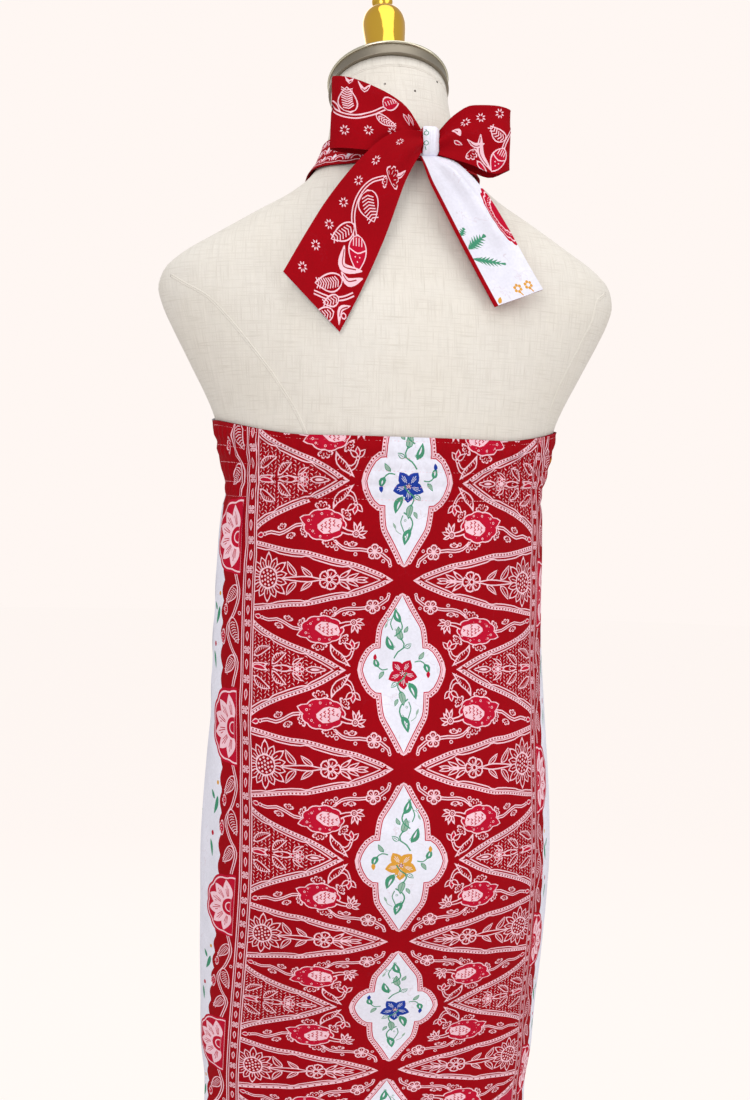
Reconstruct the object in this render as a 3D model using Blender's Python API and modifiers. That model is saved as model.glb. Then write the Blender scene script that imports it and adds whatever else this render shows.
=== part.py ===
# A batik midi dress with a halter neck tied in a bow at the nape, on a limbless dress form and its stand.
# Metres, +Z up. The origin is on the floor under the stand's centre. The back, with the bow, faces -Y,
# and the wearer's right is +X.

import math
from collections import namedtuple

import bmesh
import bpy
import numpy as np
from mathutils import Vector
from mathutils.bvhtree import BVHTree

# Driving dimensions
GAP = 0.0003  # between pieces that touch
CLOTH = 0.0015  # thickness of the cloth walls
EASE = 0.0012  # from the form to the inside of the cloth that lies on it
FORM_COLUMNS = 48
PANEL_COLUMNS = 24

HEM_HEIGHT = 0.340
BACK_TOP = 1.192  # top edge at the centre back
SIDE_TOP = 1.205  # top edge at the side seams
CASING_STITCHES = (1.1885, 1.1750, 1.1645, 1.1520, 1.1410)
CASING_PUFF = 0.0012  # how far each elastic channel swells between two stitch rows
NECKLINE_FOOT = 1.215  # lowest point of the front neckline
STRAP_FOOT = 1.345  # where the straps are sewn to the front

KNOT_STRAP_WIDTH = 0.028  # of each strap's end under the knot
STRAP_END_GAP = 0.0005  # from the middle of the knot to each strap's end
KNOT_X = 0.0170
KNOT_HEIGHT = 1.4385
KNOT_SIZE = (0.0170, 0.0190, 0.0260)

BASE_RADIUS = 0.180
BASE_EDGE = 0.006
SOCKET_RADIUS = 0.026
SOCKET_TOP = 0.050
SOCKET_FLOOR = 0.012
POLE_RADIUS = 0.016
FLANGE_RADIUS = 0.050
FLANGE_THICKNESS = 0.006
NECK_LEAN = math.radians(26)
CAP_RADIUS = 0.0545
CAP_HEIGHT = 0.0140
CAP_CROWN = 0.0050
BUST_X = 0.068
BUST_Z = 1.120
BUST_SPREAD = 0.046
BUST_RISE = 0.020

# The form: half width, depth to the back and to the front, where the ring's centre lies front to back,
# and how far the ring leans forward, in degrees.
FormRing = namedtuple("FormRing", "z half back front centre lean")
FORM_RINGS = [
    FormRing(0.700, 0.138, 0.082, 0.086, 0.000, 0),
    FormRing(0.720, 0.1435, 0.092, 0.090, 0.000, 0),
    FormRing(0.760, 0.1475, 0.107, 0.094, 0.000, 0),
    FormRing(0.800, 0.1490, 0.118, 0.097, 0.000, 0),
    FormRing(0.845, 0.1485, 0.1240, 0.099, 0.000, 0),
    FormRing(0.890, 0.1420, 0.1180, 0.099, 0.000, 0),
    FormRing(0.940, 0.1280, 0.1000, 0.097, 0.000, 0),
    FormRing(0.990, 0.1160, 0.0860, 0.095, 0.000, 0),
    FormRing(1.040, 0.1180, 0.0860, 0.098, 0.000, 0),
    FormRing(1.085, 0.1240, 0.0920, 0.104, 0.000, 0),
    FormRing(1.130, 0.1310, 0.0980, 0.110, 0.000, 0),
    FormRing(1.170, 0.1410, 0.1030, 0.112, 0.000, 0),
    FormRing(1.190, 0.1455, 0.1052, 0.1115, 0.000, 0),
    FormRing(1.210, 0.1510, 0.1070, 0.110, 0.000, 0),
    FormRing(1.228, 0.1590, 0.1078, 0.106, 0.000, 0),
    FormRing(1.245, 0.1680, 0.1078, 0.102, 0.000, 0),
    FormRing(1.264, 0.1780, 0.1068, 0.096, 0.000, 0),
    FormRing(1.283, 0.1880, 0.1040, 0.089, 0.000, 0),
    FormRing(1.302, 0.1970, 0.0990, 0.080, 0.000, 0),
    FormRing(1.317, 0.2010, 0.0930, 0.073, 0.000, 0),
    FormRing(1.331, 0.1970, 0.0820, 0.072, -0.005, 0),
    FormRing(1.344, 0.1840, 0.0730, 0.071, -0.010, 0),
    FormRing(1.364, 0.1520, 0.0610, 0.071, -0.015, 0),
    FormRing(1.385, 0.1170, 0.0530, 0.071, -0.018, 0),
    FormRing(1.400, 0.0920, 0.0510, 0.068, -0.017, 0),
    FormRing(1.416, 0.0740, 0.0520, 0.064, -0.011, 2),
    FormRing(1.432, 0.0640, 0.0530, 0.060, -0.003, 7),
    FormRing(1.449, 0.0580, 0.0530, 0.055, 0.006, 13),
    FormRing(1.468, 0.0540, 0.0520, 0.051, 0.015, 19),
    FormRing(1.488, 0.0520, 0.0505, 0.050, 0.024, 24),
    FormRing(1.502, 0.0515, 0.0500, 0.050, 0.031, 26),
]

# The outside of the dress where it hangs clear of the form.
DressRing = namedtuple("DressRing", "z half back front")
DRESS_RINGS = [
    DressRing(HEM_HEIGHT, 0.130, 0.070, 0.106),
    DressRing(0.450, 0.132, 0.070, 0.106),
    DressRing(0.560, 0.134, 0.074, 0.107),
    DressRing(0.614, 0.1360, 0.079, 0.108),
    DressRing(0.662, 0.1440, 0.087, 0.109),
    DressRing(0.700, 0.1465, 0.0945, 0.110),
    DressRing(0.735, 0.1495, 0.1050, 0.111),
    DressRing(0.786, 0.1525, 0.1190, 0.112),
    DressRing(0.835, 0.1538, 0.1275, 0.113),
    DressRing(0.875, 0.1525, 0.1262, 0.115),
    DressRing(0.910, 0.1505, 0.1205, 0.117),
    DressRing(0.962, 0.1465, 0.1100, 0.120),
    DressRing(1.006, 0.1434, 0.1020, 0.123),
    DressRing(1.050, 0.1416, 0.0990, 0.128),
    DressRing(1.103, 0.1410, 0.1010, 0.134),
    DressRing(1.130, 0.1400, 0.1000, 0.134),
    DressRing(1.151, 0.1360, 0.0980, 0.130),
    DressRing(1.205, 0.1400, 0.0980, 0.112),
    DressRing(STRAP_FOOT, 0.1500, 0.0600, 0.050),
]

# Soft folds that run down to the hem. The angle is round the body from the centre back towards +X.
Fold = namedtuple("Fold", "angle depth spread starts")
FOLDS = [
    Fold(-158, 0.0080, 11, 0.83),
    Fold(-126, 0.0100, 9, 0.78),
    Fold(-97, 0.0070, 8, 0.80),
    Fold(-68, 0.0085, 9, 0.72),
    Fold(-38, 0.0060, 10, 0.66),
    Fold(-8, 0.0040, 9, 0.60),
    Fold(24, 0.0055, 9, 0.64),
    Fold(52, 0.0080, 8, 0.70),
    Fold(83, 0.0075, 8, 0.80),
    Fold(112, 0.0095, 9, 0.76),
    Fold(143, 0.0075, 10, 0.82),
    Fold(172, 0.0060, 9, 0.72),
]

# Where the front's upper part ends, from the centre line to each side.
FrontEdge = namedtuple("FrontEdge", "z neck arm")
FRONT_EDGES = [
    FrontEdge(SIDE_TOP, 0.000, 0.1540),
    FrontEdge(1.2063, 0.000, 0.1524),
    FrontEdge(1.208, 0.000, 0.1490),
    FrontEdge(1.211, 0.000, 0.1435),
    FrontEdge(NECKLINE_FOOT, 0.000, 0.1355),
    FrontEdge(1.222, 0.005, 0.1270),
    FrontEdge(1.230, 0.009, 0.1190),
    FrontEdge(1.255, 0.018, 0.1050),
    FrontEdge(1.285, 0.026, 0.0960),
    FrontEdge(1.315, 0.0325, 0.0890),
    FrontEdge(STRAP_FOOT, 0.038, 0.0840),
]

# The middle of a strap over the shoulder and round the neck, for the right side, and its width there.
StrapPoint = namedtuple("StrapPoint", "x y z width")
STRAP_MIDDLE = [
    StrapPoint(0.0610, 0.078, STRAP_FOOT, 0.046),
    StrapPoint(0.0620, 0.066, 1.3700, 0.045),
    StrapPoint(0.0640, 0.046, 1.3970, 0.041),
    StrapPoint(0.0660, 0.024, 1.4180, 0.036),
    StrapPoint(0.0665, 0.004, 1.4285, 0.033),
    StrapPoint(0.0640, -0.014, 1.4320, 0.032),
    StrapPoint(0.0560, -0.034, 1.4340, 0.031),
    StrapPoint(0.0420, -0.050, 1.4355, 0.030),
]

# The bow's loops, from the knot's centre: how far out each place is, where the top and bottom edges are, and
# how far the ribbon stands behind the knot's centre on its way out and before it on its way back.
LoopRow = namedtuple("LoopRow", "out top bottom behind before")
LEFT_LOOP = [
    LoopRow(-0.0088, 0.0085, -0.0115, 0.0030, 0.0025),
    LoopRow(-0.0240, 0.0265, -0.0135, 0.0090, 0.0045),
    LoopRow(-0.0450, 0.0370, -0.0130, 0.0130, 0.0050),
    LoopRow(-0.0670, 0.0445, -0.0120, 0.0120, 0.0060),
    LoopRow(-0.0830, 0.0480, -0.0110, 0.0050, 0.0030),
]
RIGHT_LOOP = [
    LoopRow(0.0088, 0.0085, -0.0110, 0.0030, 0.0025),
    LoopRow(0.0180, 0.0200, -0.0145, 0.0080, 0.0045),
    LoopRow(0.0330, 0.0295, -0.0190, 0.0120, 0.0050),
    LoopRow(0.0540, 0.0310, -0.0250, 0.0110, 0.0060),
    LoopRow(0.0690, 0.0300, -0.0190, 0.0050, 0.0030),
]
# The tails: the two edges of each across and up from the knot's centre, how far behind the knot's centre
# they hang, and how far the middle swells.
TailRow = namedtuple("TailRow", "left_x left_z right_x right_z left_depth right_depth crown")
LEFT_TAIL = [
    TailRow(-0.0080, 0.0065, -0.0080, -0.0100, 0.0070, 0.0070, 0.0005),
    TailRow(-0.0260, 0.0045, -0.0150, -0.0220, 0.0140, 0.0130, 0.0020),
    TailRow(-0.0410, -0.0030, -0.0215, -0.0350, 0.0175, 0.0150, 0.0035),
    TailRow(-0.0600, -0.0210, -0.0270, -0.0505, 0.0175, 0.0160, 0.0040),
    TailRow(-0.0840, -0.0515, -0.0400, -0.0870, 0.0170, 0.0210, 0.0030),
    TailRow(-0.1020, -0.0810, -0.0560, -0.1240, 0.0200, 0.0270, 0.0020),
    TailRow(-0.1220, -0.1170, -0.0760, -0.1640, 0.0260, 0.0335, 0.0000),
]
RIGHT_TAIL = [
    TailRow(-0.0080, -0.0133, 0.0080, -0.0133, 0.0030, 0.0030, 0.0000),
    TailRow(-0.0050, -0.0220, 0.0190, -0.0165, 0.0080, 0.0070, 0.0030),
    TailRow(-0.0010, -0.0340, 0.0320, -0.0260, 0.0110, 0.0090, 0.0055),
    TailRow(0.0065, -0.0490, 0.0460, -0.0410, 0.0130, 0.0110, 0.0060),
    TailRow(0.0230, -0.0820, 0.0640, -0.0690, 0.0190, 0.0150, 0.0045),
    TailRow(0.0370, -0.1090, 0.0790, -0.0950, 0.0250, 0.0200, 0.0030),
    TailRow(0.0520, -0.1380, 0.0940, -0.1210, 0.0315, 0.0260, 0.0010),
]
TAIL_ROWS = 15
TAIL_COLUMNS = 4
LOOP_STEPS = 20
LOOP_COLUMNS = 4
LOOP_SWELL = 0.0015
STRAP_STEP = 0.0095
STRAP_COLUMNS = 5
STRAP_LEVEL_STEPS = 4  # over which the strap turns from its level foot
STRAP_LIFT = EASE + CLOTH + 0.0003
STRAP_FOOT_GAP = 0.0007


def clear_scene():
    for obj in list(bpy.data.objects):
        bpy.data.objects.remove(obj, do_unlink=True)


def finish(name, colour, roughness, metallic=0.0):
    material = bpy.data.materials.new(name)
    material.use_nodes = True
    shader = material.node_tree.nodes["Principled BSDF"]
    shader.inputs["Base Color"].default_value = (*colour, 1.0)
    shader.inputs["Roughness"].default_value = roughness
    shader.inputs["Metallic"].default_value = metallic
    return material


def smooth_table(rows, key, at):
    """Each column of the table as a smooth curve over its key column, without overshoot, at each place asked."""
    keys = np.array([getattr(row, key) for row in rows], float)
    order = np.argsort(keys)
    keys = keys[order]
    at = np.clip(np.asarray(at, float), keys[0], keys[-1])
    index = np.clip(np.searchsorted(keys, at, side="right") - 1, 0, len(keys) - 2)
    span = np.diff(keys)
    part = (at - keys[index]) / span[index]
    result = {}
    for field in rows[0]._fields:
        values = np.array([getattr(row, field) for row in rows], float)[order]
        slope = np.diff(values) / span
        tangent = np.zeros(len(values))
        same_way = slope[:-1] * slope[1:] > 0
        total = np.where(same_way, slope[:-1] + slope[1:], 1.0)
        tangent[1:-1] = np.where(same_way, 2 * slope[:-1] * slope[1:] / total, 0.0)
        tangent[0] = slope[0]
        tangent[-1] = slope[-1]
        rise = span[index] * tangent[index]
        fall = span[index] * tangent[index + 1]
        low = values[index]
        high = values[index + 1]
        result[field] = (
            low * (2 * part**3 - 3 * part**2 + 1)
            + rise * (part**3 - 2 * part**2 + part)
            + high * (3 * part**2 - 2 * part**3)
            + fall * (part**3 - part**2)
        )
    return result


def ease_in(value):
    value = np.clip(value, 0.0, 1.0)
    return value * value * (3 - 2 * value)


def soft_max(one, other, blend=0.002):
    return (one + other + np.sqrt((one - other) ** 2 + blend**2)) / 2


def bust(x, z):
    left = np.exp(-(((x + BUST_X) / BUST_SPREAD) ** 2) - ((z - BUST_Z) / BUST_SPREAD) ** 2)
    right = np.exp(-(((x - BUST_X) / BUST_SPREAD) ** 2) - ((z - BUST_Z) / BUST_SPREAD) ** 2)
    return BUST_RISE * (left + right)


def form_ring(z, count):
    """One ring of the form, from the centre back towards +X."""
    row = smooth_table(FORM_RINGS, "z", z)
    turn = np.arange(count) * 2 * math.pi / count
    x = row["half"] * np.sin(turn)
    depth = np.where(np.cos(turn) > 0, row["back"], row["front"])
    y = -depth * np.cos(turn)
    y = y + bust(x, z) * ease_in(-np.cos(turn) * 2)
    lean = math.radians(float(row["lean"]))
    return np.stack([x, row["centre"] + y * math.cos(lean), z - y * math.sin(lean)], axis=1)


def form_radius(angle, z):
    """How far the form reaches from the upright axis at these angles, at one height below the neck."""
    ring = form_ring(z, 360)
    around = np.arctan2(ring[:, 0], -ring[:, 1])
    order = np.argsort(around)
    around = around[order]
    reach = np.hypot(ring[:, 0], ring[:, 1])[order]
    angle = (np.asarray(angle) + math.pi) % (2 * math.pi) - math.pi
    return np.interp(angle, around, reach, period=2 * math.pi)


def dress_radius(angle, z):
    """The outside of the dress at these angles, at one height."""
    row = smooth_table(DRESS_RINGS, "z", z)
    depth = np.where(np.cos(angle) > 0, row["back"], row["front"])
    power = 2.2
    across = np.abs(np.sin(angle)) / row["half"]
    along = np.abs(np.cos(angle)) / depth
    hanging = (across**power + along**power) ** (-1 / power)
    for fold in FOLDS:
        turn = np.degrees(angle) - fold.angle
        turn = (turn + 180) % 360 - 180
        grown = ease_in((fold.starts - z) / (fold.starts - HEM_HEIGHT))
        hanging = hanging + fold.depth * grown * np.exp(-((turn / fold.spread) ** 2))
    slope = (form_radius(angle, z + 0.004) - form_radius(angle, z - 0.004)) / 0.008
    resting = form_radius(angle, z) + (EASE + CLOTH) * np.sqrt(1 + slope**2)
    return soft_max(hanging, resting)


def back_top(angle):
    side = ease_in((np.abs(np.degrees(angle)) - 42) / 48)
    return BACK_TOP + (SIDE_TOP - BACK_TOP) * side


def casing_swell(z):
    """The elastic channels swell between the stitch rows of the back's top edge."""
    swell = 0.0
    for upper, lower in zip(CASING_STITCHES, CASING_STITCHES[1:]):
        if lower < z < upper:
            swell = CASING_PUFF * math.sin(math.pi * (z - lower) / (upper - lower)) ** 0.6
    return swell


def dress_point(angle, z, swell=0.0):
    reach = dress_radius(angle, z) + swell
    return np.stack([reach * np.sin(angle), -reach * np.cos(angle), np.full_like(reach, z)], axis=-1)


def dress_wall(angle, z, swell=0.0):
    """The outside and the inside of the cloth at one place. Panels that meet there share its direction."""
    outside = dress_point(angle, z, swell)
    around = dress_point(angle + 0.02, z) - dress_point(angle - 0.02, z)
    upwards = dress_point(angle, z + 0.003) - dress_point(angle, z - 0.003)
    outwards = np.cross(around, upwards)
    outwards = outwards / np.linalg.norm(outwards)
    return outside, outside - outwards * CLOTH


def grid_mesh(name, grid, closed=False):
    """A loft through rows of points, every row with the same number of points."""
    rows, columns = grid.shape[:2]
    mesh = bpy.data.meshes.new(name)
    points = grid.reshape(-1, 3)
    faces = []
    for row in range(rows - 1):
        for column in range(columns if closed else columns - 1):
            beside = (column + 1) % columns
            low = row * columns
            high = low + columns
            faces.append((low + column, low + beside, high + beside, high + column))
    mesh.from_pydata([tuple(p) for p in points], [], faces)
    mesh.update()
    return mesh


def add_object(name, mesh, material, collection):
    obj = bpy.data.objects.new(name, mesh)
    collection.objects.link(obj)
    mesh.materials.append(material)
    mesh.shade_smooth()
    return obj


def close_ends(mesh):
    shell = bmesh.new()
    shell.from_mesh(mesh)
    open_edges = [edge for edge in shell.edges if edge.is_boundary]
    bmesh.ops.holes_fill(shell, edges=open_edges, sides=0)
    bmesh.ops.recalc_face_normals(shell, faces=shell.faces)
    shell.to_mesh(mesh)
    shell.free()


def face_out(mesh, centre):
    """Turns an open sheet's faces away from the form's axis."""
    shell = bmesh.new()
    shell.from_mesh(mesh)
    bmesh.ops.recalc_face_normals(shell, faces=shell.faces)
    side = 0.0
    for face in shell.faces:
        side += face.normal.dot(face.calc_center_median() - centre) * face.calc_area()
    if side < 0:
        bmesh.ops.reverse_faces(shell, faces=shell.faces)
    shell.to_mesh(mesh)
    shell.free()


def panel_wall(name, grids, material, collection):
    """A panel from grids of (outside, inside) places that share points where they meet, closed along its edges."""
    number = {}
    outside = []
    inside = []
    faces = []
    for grid in grids:
        rows, columns = grid.shape[:2]
        index = np.zeros((rows, columns), int)
        for row in range(rows):
            for column in range(columns):
                out, inner = grid[row, column]
                key = tuple(np.round(out, 6))
                if key not in number:
                    number[key] = len(outside)
                    outside.append(out)
                    inside.append(inner)
                index[row, column] = number[key]
        for row in range(rows - 1):
            for column in range(columns - 1):
                low = (index[row, column], index[row, column + 1])
                high = (index[row + 1, column + 1], index[row + 1, column])
                faces.append(low + high)
    used = {}
    for face in faces:
        for here, there in zip(face, face[1:] + face[:1]):
            used.setdefault(frozenset((here, there)), []).append((here, there))
    under = len(outside)
    shell = [tuple(int(i) for i in face) for face in faces]
    shell += [tuple(int(i) + under for i in reversed(face)) for face in faces]
    for sides in used.values():
        if len(sides) == 1:
            here, there = (int(i) for i in sides[0])
            shell.append((there, here, here + under, there + under))
    mesh = bpy.data.meshes.new(name)
    mesh.from_pydata([tuple(p) for p in outside + inside], [], shell)
    solid = bmesh.new()
    solid.from_mesh(mesh)
    bmesh.ops.recalc_face_normals(solid, faces=solid.faces)
    solid.to_mesh(mesh)
    solid.free()
    return add_object(name, mesh, material, collection)


def cloth_wall(name, grid, material, collection, centre):
    """A cloth strip: a sheet through the rows of its outside, thickened inwards."""
    mesh = grid_mesh(name, grid)
    face_out(mesh, centre)
    obj = add_object(name, mesh, material, collection)
    wall = obj.modifiers.new("Wall", "SOLIDIFY")
    wall.thickness = CLOTH
    wall.offset = -1
    return obj


def build_form(collection, material):
    heights = [row.z for row in FORM_RINGS]
    grid = np.array([form_ring(z, FORM_COLUMNS) for z in heights])
    mesh = grid_mesh("dress_form", grid, closed=True)
    close_ends(mesh)
    return add_object("dress_form", mesh, material, collection)


def lay_on(tree, point, lift):
    """The place on the form nearest to a point, lifted off its surface."""
    spot, normal, _, _ = tree.find_nearest(Vector(point))
    return spot + normal * lift


def build_back(collection, material):
    side = math.pi / 2 - GAP / 2 / 0.14
    angles = np.linspace(-side, side, PANEL_COLUMNS + 1)
    below = [HEM_HEIGHT, 0.395, 0.450, 0.505, 0.560, 0.615, 0.660, 0.700, 0.740, 0.780, 0.820, 0.860]
    below += [0.900, 0.940, 0.980, 1.020, 1.065, 1.110]
    casing = []
    for upper, lower in zip(CASING_STITCHES, CASING_STITCHES[1:]):
        casing += [(upper + lower) / 2, lower]
    heights = sorted(below + casing + [CASING_STITCHES[0]])
    rows = []
    for z in heights:
        # The rows of the casing follow the curve of the top edge.
        follow = ease_in((z - CASING_STITCHES[-1]) / (BACK_TOP - CASING_STITCHES[-1]))
        raised = z + (back_top(angles) - BACK_TOP) * follow
        rows.append([dress_wall(a, h, casing_swell(z)) for a, h in zip(angles, raised)])
    rows.append([dress_wall(a, h) for a, h in zip(angles, back_top(angles))])
    return panel_wall("back_panel", [np.array(rows)], material, collection)


def front_angle(x, z, hand):
    """The angle at which the dress is this far from the centre line, at the front."""
    angles = np.linspace(math.pi / 2, math.pi, 400)
    across = dress_radius(hand * angles, z) * np.sin(angles)
    return float(np.interp(x, across[::-1], angles[::-1]))


def front_half(hand):
    """One half of the front, from the centre line to the side seam and up to the strap."""
    side = math.pi / 2 + GAP / 2 / 0.14
    columns = PANEL_COLUMNS // 2
    rows = []
    below = [HEM_HEIGHT, 0.395, 0.450, 0.505, 0.560, 0.615, 0.660, 0.700, 0.740, 0.780, 0.820, 0.860]
    below += [0.900, 0.940, 0.980, 1.020, 1.050, 1.080, 1.105, 1.130, 1.155, 1.180]
    for z in below:
        rows.append([dress_wall(hand * a, z) for a in np.linspace(math.pi, side, columns + 1)])
    upper = [SIDE_TOP, 1.2063, 1.208, 1.211, NECKLINE_FOOT, 1.222, 1.230, 1.2425, 1.255, 1.270, 1.285, 1.300]
    upper += [1.315, 1.330, STRAP_FOOT]
    for z in upper:
        edge = smooth_table(FRONT_EDGES, "z", z)
        inner = front_angle(float(edge["neck"]), z, hand) if z > NECKLINE_FOOT else math.pi
        outer = side if z == SIDE_TOP else front_angle(float(edge["arm"]), z, hand)
        rows.append([dress_wall(hand * a, z) for a in np.linspace(inner, outer, columns + 1)])
    return np.array(rows)


def build_front(collection, material):
    return panel_wall("front_panel", [front_half(1), front_half(-1)], material, collection)


def strap_grid(tree, hand):
    """A strap laid on the form from the front, over the shoulder, to the nape."""
    end = KNOT_X + hand * STRAP_END_GAP
    route = [row._replace(x=hand * row.x) for row in STRAP_MIDDLE]
    route.append(StrapPoint(end, -0.060, KNOT_HEIGHT, KNOT_STRAP_WIDTH))
    lengths = [0.0]
    for here, there in zip(route, route[1:]):
        lengths.append(lengths[-1] + (Vector(there[:3]) - Vector(here[:3])).length)
    Place = namedtuple("Place", ("t",) + StrapPoint._fields)
    table = [Place(t, *row) for t, row in zip(lengths, route)]
    steps = round(lengths[-1] / STRAP_STEP)
    line = smooth_table(table, "t", np.linspace(0, lengths[-1], steps + 1))
    places = [Vector(place) for place in zip(line["x"], line["y"], line["z"])]
    rows = []
    for index, place in enumerate(places):
        before = places[max(index - 1, 0)]
        after = places[min(index + 1, len(places) - 1)]
        _, normal, _, _ = tree.find_nearest(place)
        across = (after - before).cross(normal)
        across.z *= min(index / STRAP_LEVEL_STEPS, 1)
        across = across.normalized() * line["width"][index]
        if index == len(places) - 1:
            across = Vector((0, 0, math.copysign(line["width"][index], across.z)))
        row = [lay_on(tree, place + across * share, STRAP_LIFT) for share in np.linspace(-0.5, 0.5, STRAP_COLUMNS + 1)]
        if index == 0:
            # The foot meets the front's top edge.
            row = [Vector((p.x, p.y, STRAP_FOOT + STRAP_FOOT_GAP)) for p in row]
        if index == len(places) - 1:
            row = [Vector((end, p.y, p.z)) for p in row]
        rows.append(row)
    return np.array(rows)


def behind_form(form_tree, x, z, lift):
    """How far back the form reaches at a place across and up from the knot's centre, plus a lift."""
    start = Vector((KNOT_X + x, -0.4, KNOT_HEIGHT + z))
    spot, _, _, _ = form_tree.ray_cast(start, Vector((0, 1, 0)))
    return spot.y - lift


def loop_grid(table, knot_y):
    """A ribbon that leaves the knot, turns at the loop's end and comes back behind itself."""
    hand = math.copysign(1, table[0].out)
    outwards = [row._replace(out=abs(row.out)) for row in table]
    first = outwards[0].out
    last = outwards[-1].out
    rows = []
    for step in range(LOOP_STEPS + 1):
        turn = math.pi * step / LOOP_STEPS
        row = smooth_table(outwards, "out", first + (last - first) * math.sin(turn))
        side = math.cos(turn) / max(abs(math.cos(turn)), 0.35)
        depth = row["behind"] * side if side > 0 else row["before"] * side
        line = []
        for share in np.linspace(0, 1, LOOP_COLUMNS + 1):
            z = row["top"] * (1 - share) + row["bottom"] * share
            swell = LOOP_SWELL * math.sin(turn) * math.sin(math.pi * share)
            y = knot_y - depth - swell
            line.append((KNOT_X + hand * float(row["out"]), float(y), KNOT_HEIGHT + float(z)))
        rows.append(line)
    return np.array(rows)


def tail_grid(form_tree, table, knot_y):
    """A tail hangs from the knot by its two edges, and never sinks into the form."""
    Place = namedtuple("Place", ("t",) + TailRow._fields)
    places = [Place(t, *row) for t, row in zip(np.linspace(0, 1, len(table)), table)]
    rows = []
    for step in range(TAIL_ROWS + 1):
        row = smooth_table(places, "t", step / TAIL_ROWS)
        line = []
        for across in np.linspace(0, 1, TAIL_COLUMNS + 1):
            x = float(row["left_x"] * (1 - across) + row["right_x"] * across)
            z = float(row["left_z"] * (1 - across) + row["right_z"] * across)
            depth = float(row["left_depth"] * (1 - across) + row["right_depth"] * across)
            depth += float(row["crown"]) * math.sin(math.pi * across)
            rest = behind_form(form_tree, x, z, EASE + 2 * CLOTH)
            line.append((KNOT_X + x, min(knot_y - depth, rest), KNOT_HEIGHT + z))
        rows.append(line)
    return np.array(rows)


def build_knot(collection, material, knot_y):
    """A soft band round the middle of the bow."""
    mesh = bpy.data.meshes.new("bow_knot")
    shell = bmesh.new()
    bmesh.ops.create_cube(shell, size=1.0)
    for vert in shell.verts:
        vert.co = Vector([c * s for c, s in zip(vert.co, KNOT_SIZE)])
    shell.to_mesh(mesh)
    shell.free()
    obj = add_object("bow_knot", mesh, material, collection)
    obj.location = (KNOT_X, knot_y, KNOT_HEIGHT)
    edge = obj.modifiers.new("Round", "BEVEL")
    edge.width = 0.0055
    edge.segments = 3
    edge.limit_method = "NONE"
    return obj


def turned(name, profile, steps, material, collection):
    """A turned piece: its profile from the axis at the top, down its outside, to the axis below."""
    mesh = bpy.data.meshes.new(name)
    points = [(r, 0.0, z) for r, z in profile]
    mesh.from_pydata(points, [(i, i + 1) for i in range(len(points) - 1)], [])
    obj = add_object(name, mesh, material, collection)
    screw = obj.modifiers.new("Turn", "SCREW")
    screw.steps = steps
    screw.render_steps = steps
    screw.use_merge_vertices = True
    screw.merge_threshold = 0.00002
    return obj


def build_stand(collection, steel):
    base_profile = [
        (0.0, SOCKET_FLOOR),
        (POLE_RADIUS + GAP, SOCKET_FLOOR),
        (POLE_RADIUS + GAP, SOCKET_TOP),
        (SOCKET_RADIUS - 0.002, SOCKET_TOP),
        (SOCKET_RADIUS, SOCKET_TOP - 0.003),
        (SOCKET_RADIUS, 0.024),
        (SOCKET_RADIUS + 0.012, 0.017),
        (BASE_RADIUS - 0.040, 0.0125),
        (BASE_RADIUS - 0.006, BASE_EDGE + 0.003),
        (BASE_RADIUS, BASE_EDGE - 0.001),
        (BASE_RADIUS, 0.0),
        (0.0, 0.0),
    ]
    turned("stand_base", base_profile, 48, steel, collection)
    form_foot = FORM_RINGS[0].z
    flange_top = form_foot - GAP
    pole_profile = [
        (0.0, flange_top),
        (FLANGE_RADIUS, flange_top),
        (FLANGE_RADIUS, flange_top - FLANGE_THICKNESS),
        (POLE_RADIUS, flange_top - FLANGE_THICKNESS - 0.004),
        (POLE_RADIUS, SOCKET_FLOOR + GAP),
        (0.0, SOCKET_FLOOR + GAP),
    ]
    turned("stand_pole", pole_profile, 24, steel, collection)


def build_neck_cap(collection, rim_metal, gold):
    """The lid on the neck and its finial share the neck's lean."""
    top = FORM_RINGS[-1]
    holder = bpy.data.objects.new("neck_axis", None)
    holder.location = (0.0, top.centre, top.z)
    holder.rotation_euler = (-NECK_LEAN, 0.0, 0.0)
    collection.objects.link(holder)
    side_top = CAP_HEIGHT - 0.0025
    cap_profile = [
        (0.0, CAP_HEIGHT + CAP_CROWN),
        (0.020, CAP_HEIGHT + CAP_CROWN * 0.85),
        (0.038, CAP_HEIGHT + CAP_CROWN * 0.45),
        (CAP_RADIUS - 0.003, CAP_HEIGHT),
        (CAP_RADIUS - 0.0008, CAP_HEIGHT - 0.0008),
        (CAP_RADIUS, side_top),
        (CAP_RADIUS, GAP),
        (0.0, GAP),
    ]
    cap = turned("neck_cap", cap_profile, 48, rim_metal, collection)
    cap.parent = holder
    foot = CAP_HEIGHT + CAP_CROWN + GAP
    finial_profile = [
        (0.0, foot + 0.0960),
        (0.0055, foot + 0.0948),
        (0.0092, foot + 0.0905),
        (0.0094, foot + 0.0862),
        (0.0068, foot + 0.0818),
        (0.0064, foot + 0.0785),
        (0.0082, foot + 0.0762),
        (0.0138, foot + 0.0738),
        (0.0178, foot + 0.0690),
        (0.0195, foot + 0.0620),
        (0.0194, foot + 0.0540),
        (0.0184, foot + 0.0430),
        (0.0171, foot + 0.0300),
        (0.0164, foot + 0.0120),
        (0.0172, foot + 0.0050),
        (0.0185, foot + 0.0030),
        (0.0185, foot),
        (0.0, foot),
    ]
    finial = turned("finial", finial_profile, 24, gold, collection)
    finial.parent = holder


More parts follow.
